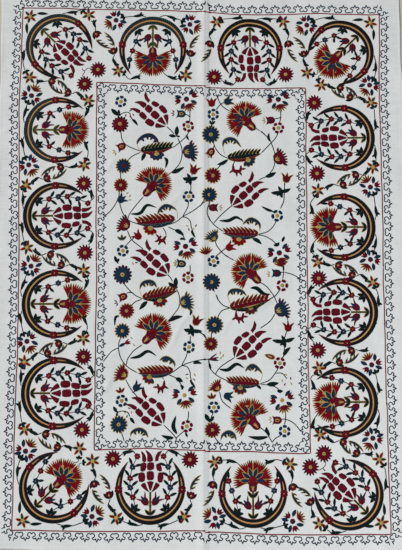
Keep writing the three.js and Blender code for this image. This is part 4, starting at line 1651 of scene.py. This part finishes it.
# Leaves along the stems: how wide each is and the places that its middle runs through
BLADES = (
    (13, (-224, 443), (-231, 427), (-239, 408)),
    (10, (-149, 424), (-138, 408), (-144, 377)),
    (13, (-119, 359), (-96, 369), (-68, 385)),
    (7, (-63, 515), (-57, 503), (-51, 491)),
    (11, (-284, 196), (-243, 199), (-216, 231), (-176, 221)),
    (9, (-279, 578), (-266, 567), (-254, 550)),
    (14, (-106, 133), (-90, 126), (-69, 111)),
    (8, (-88, 96), (-76, 98), (-62, 95)),
    (8, (-42, 132), (-35, 118), (-25, 101)),
    (14, (-212, -147), (-228, -162), (-244, -181)),
    (8, (-320, -204), (-336, -211), (-339, -246)),
    (14, (-133, -227), (-105, -212), (-73, -206)),
    (8, (-41, -178), (-42, -190), (-46, -203)),
    (11, (-281, -368), (-244, -361), (-209, -341), (-174, -360)),
    (10, (-35, -388), (-18, -384), (1, -388)),
    (14, (-102, -444), (-87, -451), (-73, -459)),
    (9, (-84, -471), (-75, -479), (-79, -490)),
    (8, (-47, -450), (-36, -467), (-24, -484)),
    (10, (-277, -593), (-268, -604), (-258, -618)),
    (13, (-95, -658), (-110, -627), (-99, -585)),
    (12, (-107, -670), (-130, -670), (-157, -661)),
    (7, (-64, -649), (-59, -660), (-55, -669)),
    (9, (274, 486), (266, 504), (269, 524)),
    (12, (105, 415), (83, 400), (60, 394)),
    (14, (251, 345), (274, 352), (296, 364)),
    (9, (285, 205), (261, 213), (234, 228)),
    (11, (67, 170), (105, 170), (136, 183), (164, 167)),
    (13, (198, 100), (219, 91), (236, 76)),
    (12, (282, 72), (297, 75), (306, 84)),
    (9, (316, 85), (321, 97), (327, 108)),
    (13, (188, -96), (215, -97), (241, -118), (271, -122)),
    (13, (316, -360), (327, -342), (346, -325)),
    (12, (65, -410), (100, -413), (135, -391), (167, -408)),
    (9, (210, -471), (221, -478), (228, -488)),
    (15, (250, -469), (273, -468), (299, -463)),
    (7, (29, -386), (32, -399), (34, -415)),
    (12, (261, -665), (250, -646), (248, -630)),
    (12, (257, -668), (217, -673), (175, -666)),
    (11, (290, -492), (302, -495), (314, -494)),
)
# Flowers of the field: where each is, then its size, its colours and the way that it grows, in degrees
ROSETTES = (
    Rosette(-325, 552, 33, "crimson", "dark", "ochre"),
    Rosette(-311, 384, 31, "navy", "ochre", "crimson"),
    Rosette(-320, 306, 28, "crimson", "ochre", "ochre"),
    Rosette(-310, -48, 37, "navy", "crimson", "ochre"),
    Rosette(-293, -189, 30, "crimson", "ochre", "ochre"),
    Rosette(-309, -267, 30, "navy", "ochre", "ochre"),
    Rosette(-319, -624, 34, "navy", "ochre", "ochre"),
    Rosette(36, 516, 36, "navy", "ochre", "ochre"),
    Rosette(44, 351, 33, "crimson", "ochre", "ochre"),
    Rosette(30, 273, 31, "navy", "ochre", "ochre"),
    Rosette(38, -72, 34, "navy", "crimson", "ochre"),
    Rosette(49, -239, 35, "navy", "ochre", "ochre"),
    Rosette(35, -312, 28, "crimson", "ochre", "ochre"),
    Rosette(40, -641, 31, "crimson", "ochre", "ochre"),
)
RING_FLOWERS = (
    (-323, 645, "navy"),
    (-54, 548, "crimson"),
    (-52, 265, "navy"),
    (-310, 46, "navy"),
    (-54, -56, "crimson"),
    (-50, -326, "navy"),
    (-309, -535, "navy"),
    (-58, -628, "crimson"),
    (46, 598, "navy"),
    (306, 548, "crimson"),
    (46, 10, "navy"),
    (315, -81, "crimson"),
    (46, -555, "navy"),
    (318, -642, "navy"),
    (302, -383, "crimson"),
    (298, 194, "navy"),
)
THISTLES = (
    Thistle(-73, 442, 8, "navy", "crimson", 1.0),
    Thistle(-286, 140, 154, "crimson", "dark", 0.86),
    Thistle(-85, -157, 13, "navy", "ochre", 0.95),
    Thistle(-289, -442, 153, "crimson", "ochre", 0.92),
    Thistle(289, 415, 27, "crimson", "dark", 0.92),
    Thistle(55, 91, 126, "navy", "ochre", 0.78),
    Thistle(288, -186, 25, "navy", "crimson", 1.0),
    Thistle(68, -490, 133, "crimson", "ochre", 0.74),
)
# The long leaves: foot, tip, the colours above and below, the curl over it and the half flower beside it
SAZ_LEAVES = (
    Saz((-245, 445), (-111, 463), "green", "crimson",
        curl=((-242, 448), (-255, 467), (-254, 488), (-231, 508), (-203, 512), (-181, 496), (-173, 481)),
        half=(-180, 432), petals=("navy", "navy"), edge="crimson"),
    Saz((-103, 173), (-263, 157), "crimson", "navy",
        curl=((-96, 176), (-98, 207), (-118, 223), (-143, 229), (-164, 215), (-175, 195)),
        half=(-204, 134), petals=("red", "red"), edge="ochre"),
    Saz((-234, -140), (-94, -109), "crimson", "green",
        curl=((-235, -130), (-242, -104), (-234, -80), (-211, -70), (-189, -75), (-176, -94)),
        half=(-165, -149), petals=("navy", "red"), edge="ochre"),
    Saz((-108, -418), (-248, -427), "crimson", "navy",
        curl=((-104, -408), (-109, -384), (-131, -368), (-148, -367), (-164, -376)),
        half=(-206, -444), petals=("red", "navy"), edge="ochre"),
    Saz((100, 421), (237, 440), "green", "crimson",
        curl=((93, 432), (85, 461), (88, 487), (109, 499), (134, 493), (157, 465)),
        half=(188, 414), petals=("navy", "navy"), edge="ochre"),
    Saz((225, 119), (82, 124), "crimson", "navy",
        curl=((228, 125), (227, 156), (203, 174), (183, 173), (161, 155)),
        half=(145, 96), petals=("red", "red"), edge="ochre"),
    Saz((107, -173), (269, -138), "crimson", "green",
        curl=((114, -160), (102, -131), (110, -110), (130, -104), (157, -109), (174, -126)),
        half=(191, -173), petals=("navy", "red"), edge="ochre"),
    Saz((224, -463), (94, -455), "crimson", "navy",
        curl=((226, -461), (234, -432), (219, -410), (199, -397), (181, -403), (168, -419)),
        half=(146, -481), petals=("red", "navy"), edge="ochre"),
)
# Curls without a leaf
LOOSE_CURLS = (
    ((-276, -670), (-268, -649), (-242, -639), (-219, -648), (-207, -669)),
    ((71, -687), (79, -662), (102, -650), (122, -659), (132, -680)),
)
SMALL_TULIPS = (
    (-37, 357, 68, "crimson", "ochre"),
    (-240, 95, 138, "red", None),
    (-330, 240, 37, "navy", None),
    (-27, -240, 68, "crimson", "ochre"),
    (-263, -493, 41, "navy", None),
    (41, 630, 94, "red", None),
    (91, 646, 27, "navy", "ochre"),
    (333, 328, 79, "crimson", "ochre"),
    (96, 58, 31, "red", None),
    (336, -260, 89, "red", None),
    (85, -509, -12, "navy", None),
)
OPEN_TULIPS = (
    (-323, -328, 27, "navy", ("red", "red", "red")),
    (26, -373, 16, None, ("navy", "red", "navy")),
)
# Three short leaves that stand together
CROWNS = (
    (-313, 87, 95, "navy", "ochre"),
    (-312, -505, 105, "crimson", "ochre"),
    (39, -523, 96, "crimson", "ochre"),
)
# Buds, each with its loose stitches before its mouth, or none
BUDS_OF_FIELD = (
    Bud(-303, 469, -155, "crimson", "ochre", "ochre", (-347, 437)),
    Bud(-64, 598, 177, "navy", "ochre", "crimson", (-115, 601)),
    Bud(-291, -128, -160, "crimson", "ochre", "navy", (-334, -159)),
    Bud(-62, -4, 172, "navy", "ochre", "ochre", (-105, 2)),
    Bud(47, 460, -125, "crimson", "ochre", "ochre", (28, 428)),
    Bud(293, 581, -174, "crimson", "navy", "ochre", (248, 578)),
    Bud(28, 222, 0, "crimson", "navy", "ochre", (76, 222)),
    Bud(311, -34, 178, "navy", "crimson", "ochre", (261, -38)),
    Bud(308, -601, 180, "crimson", "ochre", "ochre", (263, -600)),
    Bud(-63, -3, 176, "navy", "ochre", "ochre", (-104, 0)),
    Bud(281, -363, 162, "crimson", "ochre", None, (238, -349)),
)
# Hearts with beans round them, and where their rays are
BURSTS = (
    Burst((-61, 659), (-49, 626), "crimson"),
    Burst((-64, 66), (-56, 28), "crimson"),
    Burst((-67, -511), (-60, -556), "ochre"),
    Burst((307, 664), (315, 632), "crimson"),
    Burst((305, 46), (314, 11), "crimson"),
    Burst((310, -525), (318, -557), "ochre"),
)
# Crimson hooks, by the places that each runs through
HOOKS = (
    ((-140, 110), (-154, 91), (-168, 96), (-160, 110)),
    ((-145, -452), (-148, -477), (-165, -483), (-171, -466)),
    ((124, 396), (128, 370), (151, 369), (156, 390)),
    ((133, -186), (136, -212), (156, -214), (162, -194)),
)
# Leaves that cross a stem: its middle, then their tips
CROSSES = (
    ((-48, 336), (-76, 341), (-15, 345)),
    ((-38, -260), (-71, -256), (2, -263)),
    ((313, 285), (273, 282), (353, 298)),
    ((320, -303), (272, -298), (362, -289)),
)
# A node on a stem and the tips of its leaves
TREFOILS = (
    ((-101, 508), (-98, 551), (-132, 513), (-86, 508)),
    ((-103, -96), (-101, -53), (-132, -74), (-93, -90)),
    ((-332, 591), (-362, 621), (-331, 618), (-322, 598)),
    ((-332, 3), (-342, 31), (-324, 21), (-325, 2)),
    ((-326, -575), (-341, -551), (-323, -568), (-325, -588)),
    ((29, -612), (12, -579), (47, -589), (30, -614)),
    ((38, 555), (33, 574), (54, 571), (40, 546)),
)
# Loose stitches by colour
DASHES = (
    ("crimson", (-303, 589), (-273, 592), (-284, 608), (-284, 582)),
    ("ochre", (-294, 275), (-284, 264), (-284, 248)),
    ("ochre", (-58, 148), (-35, 136)),
    ("crimson", (-23, 150), (-51, 134)),
    ("ochre", (-273, -294), (-264, -320)),
    ("crimson", (-58, -431), (-30, -450)),
    ("ochre", (-28, -432), (-58, -446)),
    ("crimson", (-280, -562), (-288, -593)),
    ("ochre", (-297, -578), (-271, -577)),
    ("ochre", (-271, 17), (-270, -4)),
    ("navy", (-256, 0)),
    ("ochre", (325, -427), (311, -450), (346, -461)),
    ("crimson", (344, -441), (321, -464)),
    ("ochre", (71, -347), (82, -357), (74, -366)),
)
RAY_FLOWERS = ((18, 49), (313, 6))
FIELD_CARNATIONS = ((-228, 266, 50), (-227, -313, 48), (211, 539, 133), (227, -72, 132), (220, -635, 131))
FIELD_TULIPS = (
    (-140, 550, 137, 1), (-132, -45, 137, 1), (-149, -622, 134, 1), (119, 229, 44, -1), (129, -365, 46, -1)
)
FIELD_FAN_AT = 56  # how far a carnation's fan stands from its foot, and how far it reaches
FIELD_REACH = 76


# The cotton


def spread(start, end, cell, fine):
    """Places from start to end, a cell apart, and closer inside each fine stretch (low, high, step)."""
    places = [np.arange(start, end, cell), [end]]
    for low, high, step in fine:
        places = [run[(run < low) | (run > high)] for run in map(np.asarray, places)]
        places.append(np.arange(max(low, start), min(high, end) + step / 2, step))
    return np.unique(np.round(np.clip(np.concatenate(places), start, end), 3))


# How closely the panels' points lie at the hems, at the creases and on each side of the seam
HEM_CELL = 2.2
CREASE_CELL = 3.0
LEFT_SEAM_CELL = 1.5
RIGHT_SEAM_CELL = 1.3
THINNEST = 0.55  # the share of its thickness that the cotton keeps in a trough


def panel_places(side, cell):
    """Places across a panel from its left, and along it."""
    hem = HEM_WIDE + 2
    wide = WIDE / 2 - side * seam_x(0)
    if side < 0:
        fine = [(0, hem, HEM_CELL), (wide - 9, wide, LEFT_SEAM_CELL)]
    else:
        fine = [(0, FELL_WIDE + 5, RIGHT_SEAM_CELL), (wide - hem, wide, HEM_CELL)]
    creases = [(crease.y - 15, crease.y + 15, CREASE_CELL) for crease in CREASES]
    ends = [(-LONG / 2, hem - LONG / 2, HEM_CELL), (LONG / 2 - hem, LONG / 2, HEM_CELL)]
    return spread(0, wide, cell, fine), spread(-LONG / 2, LONG / 2, cell, creases + ends)


def cotton_panel(name, side, settings):
    """One panel of the cloth, from its cut edge to the seam, as a thin closed sheet."""
    thick = settings.thick / MM
    across, levels = panel_places(side, settings.cell / MM)
    share = across / across[-1]
    level = np.repeat(levels[:, None], len(across), axis=1)
    edge_x = side * (WIDE / 2 + wander(level, 3 if side < 0 else 1))
    join_x = seam_x(level) + side * SEAM_GAP / 2
    near, far = (edge_x, join_x) if side < 0 else (join_x, edge_x)
    x = near + (far - near) * share[None, :]
    past_end = np.abs(level) / (LONG / 2)
    swing = np.where(level > 0, wander(x, 2), -wander(x, 0)) * smoothstep((past_end - 0.9) / 0.1)
    y = level + swing - SKEW * x
    rows, columns = x.shape
    flat = np.column_stack([x.ravel(), y.ravel()])
    top = cotton_top(flat[:, 0], flat[:, 1])
    under = np.minimum(lift(flat[:, 0], flat[:, 1]), top - THINNEST * thick)
    points = np.vstack([np.column_stack([flat, top]), np.column_stack([flat, under])]) * MM
    index = np.arange(rows * columns).reshape(rows, columns)
    faces = grid_faces(index)
    count = rows * columns
    ring = np.concatenate([index[0, :-1], index[:-1, -1], index[-1, :0:-1], index[:0:-1, 0]])
    after = np.roll(ring, -1)
    walls = np.stack([ring, ring + count, after + count, after], axis=-1)
    quads = np.vstack([faces, faces[:, ::-1] + count, walls])
    half_map = unit_map(flat) * [0.495, 1]
    maps = {"OFBake": np.vstack([half_map, half_map + [0.505, 0]])}
    material = bpy.data.materials.get("woven_cotton") or cotton_material(settings)
    made = new_object(name, points, quads, np.zeros(len(quads)), [material], maps)
    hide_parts(name)
    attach(made, "root")
    return made


class SUZANI_OT_cotton(bpy.types.Operator):
    """Make the two cotton panels with their seam, hems and creases"""

    bl_idname = "suzani.cotton"
    bl_label = "Cotton panels"

    def execute(self, context):
        settings = context.scene.suzani_cloth
        cotton_panel("panel_left", -1, settings)
        cotton_panel("panel_right", 1, settings)
        return {"FINISHED"}


class SUZANI_OT_borders(bpy.types.Operator):
    """Work the red lines of the two borders and the navy scrolls along them"""

    bl_idname = "suzani.borders"
    bl_label = "Lines and scrolls"

    def execute(self, context):
        lines = Work("border_lines", 11, "line")
        scrolls = Work("border_scrolls", 12, "navy")
        for corners, outward, turn in ((OUTER_LINE, 1, OUTER_CLEAR), (INNER_LINE, -1, INNER_CLEAR)):
            for order, run in enumerate(corners):
                row(lines, line_run(run), LINE_THREAD, "line", LINE_HIGH)
                start = SEAM_CLEAR if order in (1, 4) else turn
                end = SEAM_CLEAR if order in (0, 3) else turn
                scroll(scrolls, run, outward, start, end)
            for order in (1, 2, 4, 5):
                scroll_corner(scrolls, np.array(corners[order][-1], float), outward)
        lines.piece()
        scrolls.piece()
        return {"FINISHED"}


class SUZANI_OT_crescents(bpy.types.Operator):
    """Work the sixteen crescents of the border"""

    bl_idname = "suzani.crescents"
    bl_label = "Crescents"

    def execute(self, context):
        work = Work("crescents", 21, "crimson green teal dark stripe tan ochre")
        for here in CRESCENTS:
            spot = Spot(here.x, here.y, here.opens, here.size)
            crescent(work, spot, here.clasp, "teal" if here.y > 400 and here.x < 0 else "dark")
        work.piece()
        return {"FINISHED"}


class SUZANI_OT_blooms(bpy.types.Operator):
    """Work the tulip or carnation in each crescent, and the sprigs beside it"""

    bl_idname = "suzani.blooms"
    bl_label = "Blooms of the border"

    def execute(self, context):
        blooms = Work("border_blooms", 31, "crimson red navy green olive ochre dark")
        sprigs = Work("border_sprigs", 32, "crimson navy green ochre")
        for here in CRESCENTS:
            spot = Spot(here.x, here.y, here.opens)
            bloom(blooms, spot, here, "olive" if here.y > 400 and here.x < 0 else "green")
            for side in (-1, 1):
                sprig(sprigs, spot, side, here.bloom, (here.x, here.y) in NAVY_FIRST)
        blooms.piece()
        sprigs.piece()
        return {"FINISHED"}


class SUZANI_OT_beds(bpy.types.Operator):
    """Work the stars, rosettes, exploded blossoms and fronds between the crescents"""

    bl_idname = "suzani.beds"
    bl_label = "Flowers of the border"

    def execute(self, context):
        work = Work("border_flowers", 41, "crimson red navy green ochre dark")
        for here, bed in zip(CRESCENTS, BEDS):
            spot = Spot(here.x, here.y, here.opens)
            if bed.behind:
                corner_bed(work, spot, here, bed)
            else:
                straight_bed(work, spot, here, bed)
        work.piece()
        return {"FINISHED"}


class SUZANI_OT_field_blooms(bpy.types.Operator):
    """Work the large tulips and carnations of the field"""

    bl_idname = "suzani.field_blooms"
    bl_label = "Blooms of the field"

    def execute(self, context):
        work = Work("field_blooms", 51, "crimson red navy ochre dark")
        for x, y, grows in FIELD_CARNATIONS:
            carnation_head(work, Spot(x, y, grows), FIELD_FAN_AT, FIELD_REACH)
        for x, y, grows, turned in FIELD_TULIPS:
            foot = Spot(x, y, grows, flip=turned)
            tulip_head(work, foot.spot(0, -7), 0.12)
        work.piece()
        return {"FINISHED"}


class SUZANI_OT_field_leaves(bpy.types.Operator):
    """Work the long toothed leaves of the field and their curls"""

    bl_idname = "suzani.field_leaves"
    bl_label = "Toothed leaves of the field"

    def execute(self, context):
        work = Work("field_saz_leaves", 52, "crimson red navy green ochre")
        for saz in SAZ_LEAVES:
            saz_leaf(work, saz)
        for places in LOOSE_CURLS:
            curl(work, places, "ochre")
        work.piece()
        return {"FINISHED"}


class SUZANI_OT_field_stems(bpy.types.Operator):
    """Work the stems of the field and the green leaves along them"""

    bl_idname = "suzani.field_stems"
    bl_label = "Stems of the field"

    def execute(self, context):
        work = Work("field_stems", 53, "green")
        for places in STEMS:
            row(work, smooth(on_field(*places), 6), STEM_WIDE, "green")
        for wide, *places in BLADES:
            blade(work, places, wide)
        for places in CROSSES:
            cross_leaves(work, places)
        for places in TREFOILS:
            trefoil(work, places)
        work.piece()
        return {"FINISHED"}


class SUZANI_OT_field_flowers(bpy.types.Operator):
    """Work the lesser flowers of the field"""

    bl_idname = "suzani.field_flowers"
    bl_label = "Lesser flowers of the field"

    def execute(self, context):
        work = Work("field_flowers", 54, "crimson red navy green ochre dark")
        for here in ROSETTES:
            spot = Spot(here.x, here.y, work.chance.uniform(0, 90))
            rosette(work, spot, here.radius, here.body, here.edge, here.eye, lobed=True)
        for x, y, name in RING_FLOWERS:
            ring_flower(work, Spot(x, y), name)
        for here in THISTLES:
            thistle(work, Spot(here.x, here.y, here.grows, here.size), here.body, here.edge)
        for x, y, grows, name, edge in SMALL_TULIPS:
            field_tulip(work, Spot(x, y, grows), name, edge)
        for x, y, grows, cup, petals in OPEN_TULIPS:
            open_tulip(work, Spot(x, y, grows), cup, petals)
        for x, y, grows, name, edge in CROWNS:
            fan_of_leaves(work, Spot(x, y, grows), (-48, 0, 48), 24, 9, name, edge=edge)
        for here in BUDS_OF_FIELD:
            bud(work, here)
        for here in BURSTS:
            burst(work, here)
        for places in HOOKS:
            hook_flower(work, places)
        for x, y in RAY_FLOWERS:
            ray_fan(work, Spot(x, y - 12, 100), 7, 33, 60)
        for name, *places in DASHES:
            for x, y in places:
                dash = Spot(x, y, work.chance.uniform(0, 180))
                leaf(work, dash.spot(0, -7), 14, 5, name, count=5)
        work.piece()
        return {"FINISHED"}


class SUZANI_OT_sheets(bpy.types.Operator):
    """Find the stitched pieces among the objects; nothing more is done with them"""

    bl_idname = "suzani.sheets"
    bl_label = "Sheets"

    def execute(self, context):
        stitched = [piece for piece in bpy.data.objects if piece.type == "MESH" and piece.name in STITCHED]
        return {"FINISHED"}


# The stage, in metres: the floor, the light from all round, the lamps by share of the strength, the camera
FLOOR_REACH = 30.0
FLOOR_DROP = 0.0004
SKY = (0.93, 0.96, 1.0, 1.0)
Lamp = namedtuple("Lamp", "name place size share tint")
LAMPS = (
    Lamp("window", (-20.0, 9.0, 12.6), 8.8, 1.0, (1.0, 0.98, 0.95)),
    Lamp("fill", (2.7, -2.6, 3.0), 2.6, 0.0125, (0.97, 0.98, 1.0)),
)
SENSOR_WIDE = 36.0
CAMERA_PLACE = (-0.0186, -0.1548, 1.8795)
CAMERA_TURN = (0.0585, -0.0082, -0.0005)


class SUZANI_OT_stage(bpy.types.Operator):
    """Set up the floor, the lights and the camera"""

    bl_idname = "suzani.stage"
    bl_label = "Stage"

    def execute(self, context):
        scene = context.scene
        settings = scene.suzani_stage
        scene.view_settings.view_transform = "Standard"
        dye = Dye("floor")
        material = dye.finish(Base_Color=rgba(settings.floor), Roughness=0.8, Specular_IOR_Level=0.2)
        points = FLOOR_REACH * np.array([(-1, -1, 0), (1, -1, 0), (1, 1, 0), (-1, 1, 0)])
        floor = new_object("floor", points, np.array([[0, 1, 2, 3]]), [0], [material], {})
        floor.location.z = -FLOOR_DROP
        world = bpy.data.worlds.new("room")
        scene.world = world
        world.use_nodes = True
        sky = world.node_tree.nodes["Background"]
        sky.inputs["Color"].default_value = SKY
        sky.inputs["Strength"].default_value = settings.soft
        for lamp in LAMPS:
            self.light(context, lamp, settings.lamp)
        camera_data = bpy.data.cameras.new("camera")
        camera_data.sensor_width = SENSOR_WIDE
        camera_data.lens = settings.focal
        camera = bpy.data.objects.new("camera", camera_data)
        camera.location = CAMERA_PLACE
        camera.rotation_euler = Euler(CAMERA_TURN)
        context.collection.objects.link(camera)
        scene.camera = camera
        return {"FINISHED"}

    def light(self, context, lamp, strength):
        """A large square lamp that faces the middle of the cloth."""
        data = bpy.data.lights.new(lamp.name, "AREA")
        data.size = lamp.size
        data.energy = strength * lamp.share
        data.color = lamp.tint
        made = bpy.data.objects.new(lamp.name, data)
        made.location = lamp.place
        made.rotation_euler = (-Vector(lamp.place)).to_track_quat("-Z", "Y").to_euler()
        context.collection.objects.link(made)


class SUZANI_PT_panel(bpy.types.Panel):
    """Lists what the add-on makes"""

    bl_label = "Suzani"
    bl_idname = "SUZANI_PT_panel"
    bl_space_type = "VIEW_3D"
    bl_region_type = "UI"
    bl_category = "Suzani"

    def draw(self, context):
        for operator in OPERATORS:
            self.layout.operator(operator.bl_idname)


OPERATORS = (
    SUZANI_OT_cotton,
    SUZANI_OT_borders,
    SUZANI_OT_crescents,
    SUZANI_OT_blooms,
    SUZANI_OT_beds,
    SUZANI_OT_field_blooms,
    SUZANI_OT_field_leaves,
    SUZANI_OT_field_stems,
    SUZANI_OT_field_flowers,
    SUZANI_OT_stage,
    SUZANI_OT_sheets,
)
STITCHED = (
    "border_lines",
    "border_scrolls",
    "crescents",
    "border_blooms",
    "border_sprigs",
    "border_flowers",
    "field_blooms",
    "field_saz_leaves",
    "field_stems",
    "field_flowers",
)
GROUPS = {"suzani_cloth": SuzaniCloth, "suzani_thread": SuzaniThread, "suzani_stage": SuzaniStage}


def register():
    for name, group in GROUPS.items():
        bpy.utils.register_class(group)
        setattr(bpy.types.Scene, name, PointerProperty(type=group))
    for made in (*OPERATORS, SUZANI_PT_panel):
        bpy.utils.register_class(made)


def unregister():
    for made in (SUZANI_PT_panel, *reversed(OPERATORS)):
        bpy.utils.unregister_class(made)
    for name, group in reversed(GROUPS.items()):
        delattr(bpy.types.Scene, name)
        bpy.utils.unregister_class(group)


def make(operator):
    """Call an operator through Blender, which must finish."""
    family, name = operator.bl_idname.split(".")
    result = getattr(getattr(bpy.ops, family), name)()
    if result != {"FINISHED"}:
        raise RuntimeError(f"{operator.bl_idname} didn't finish")


def main():
    register()
    for operator in OPERATORS:
        make(operator)


if __name__ == "__main__":
    main()
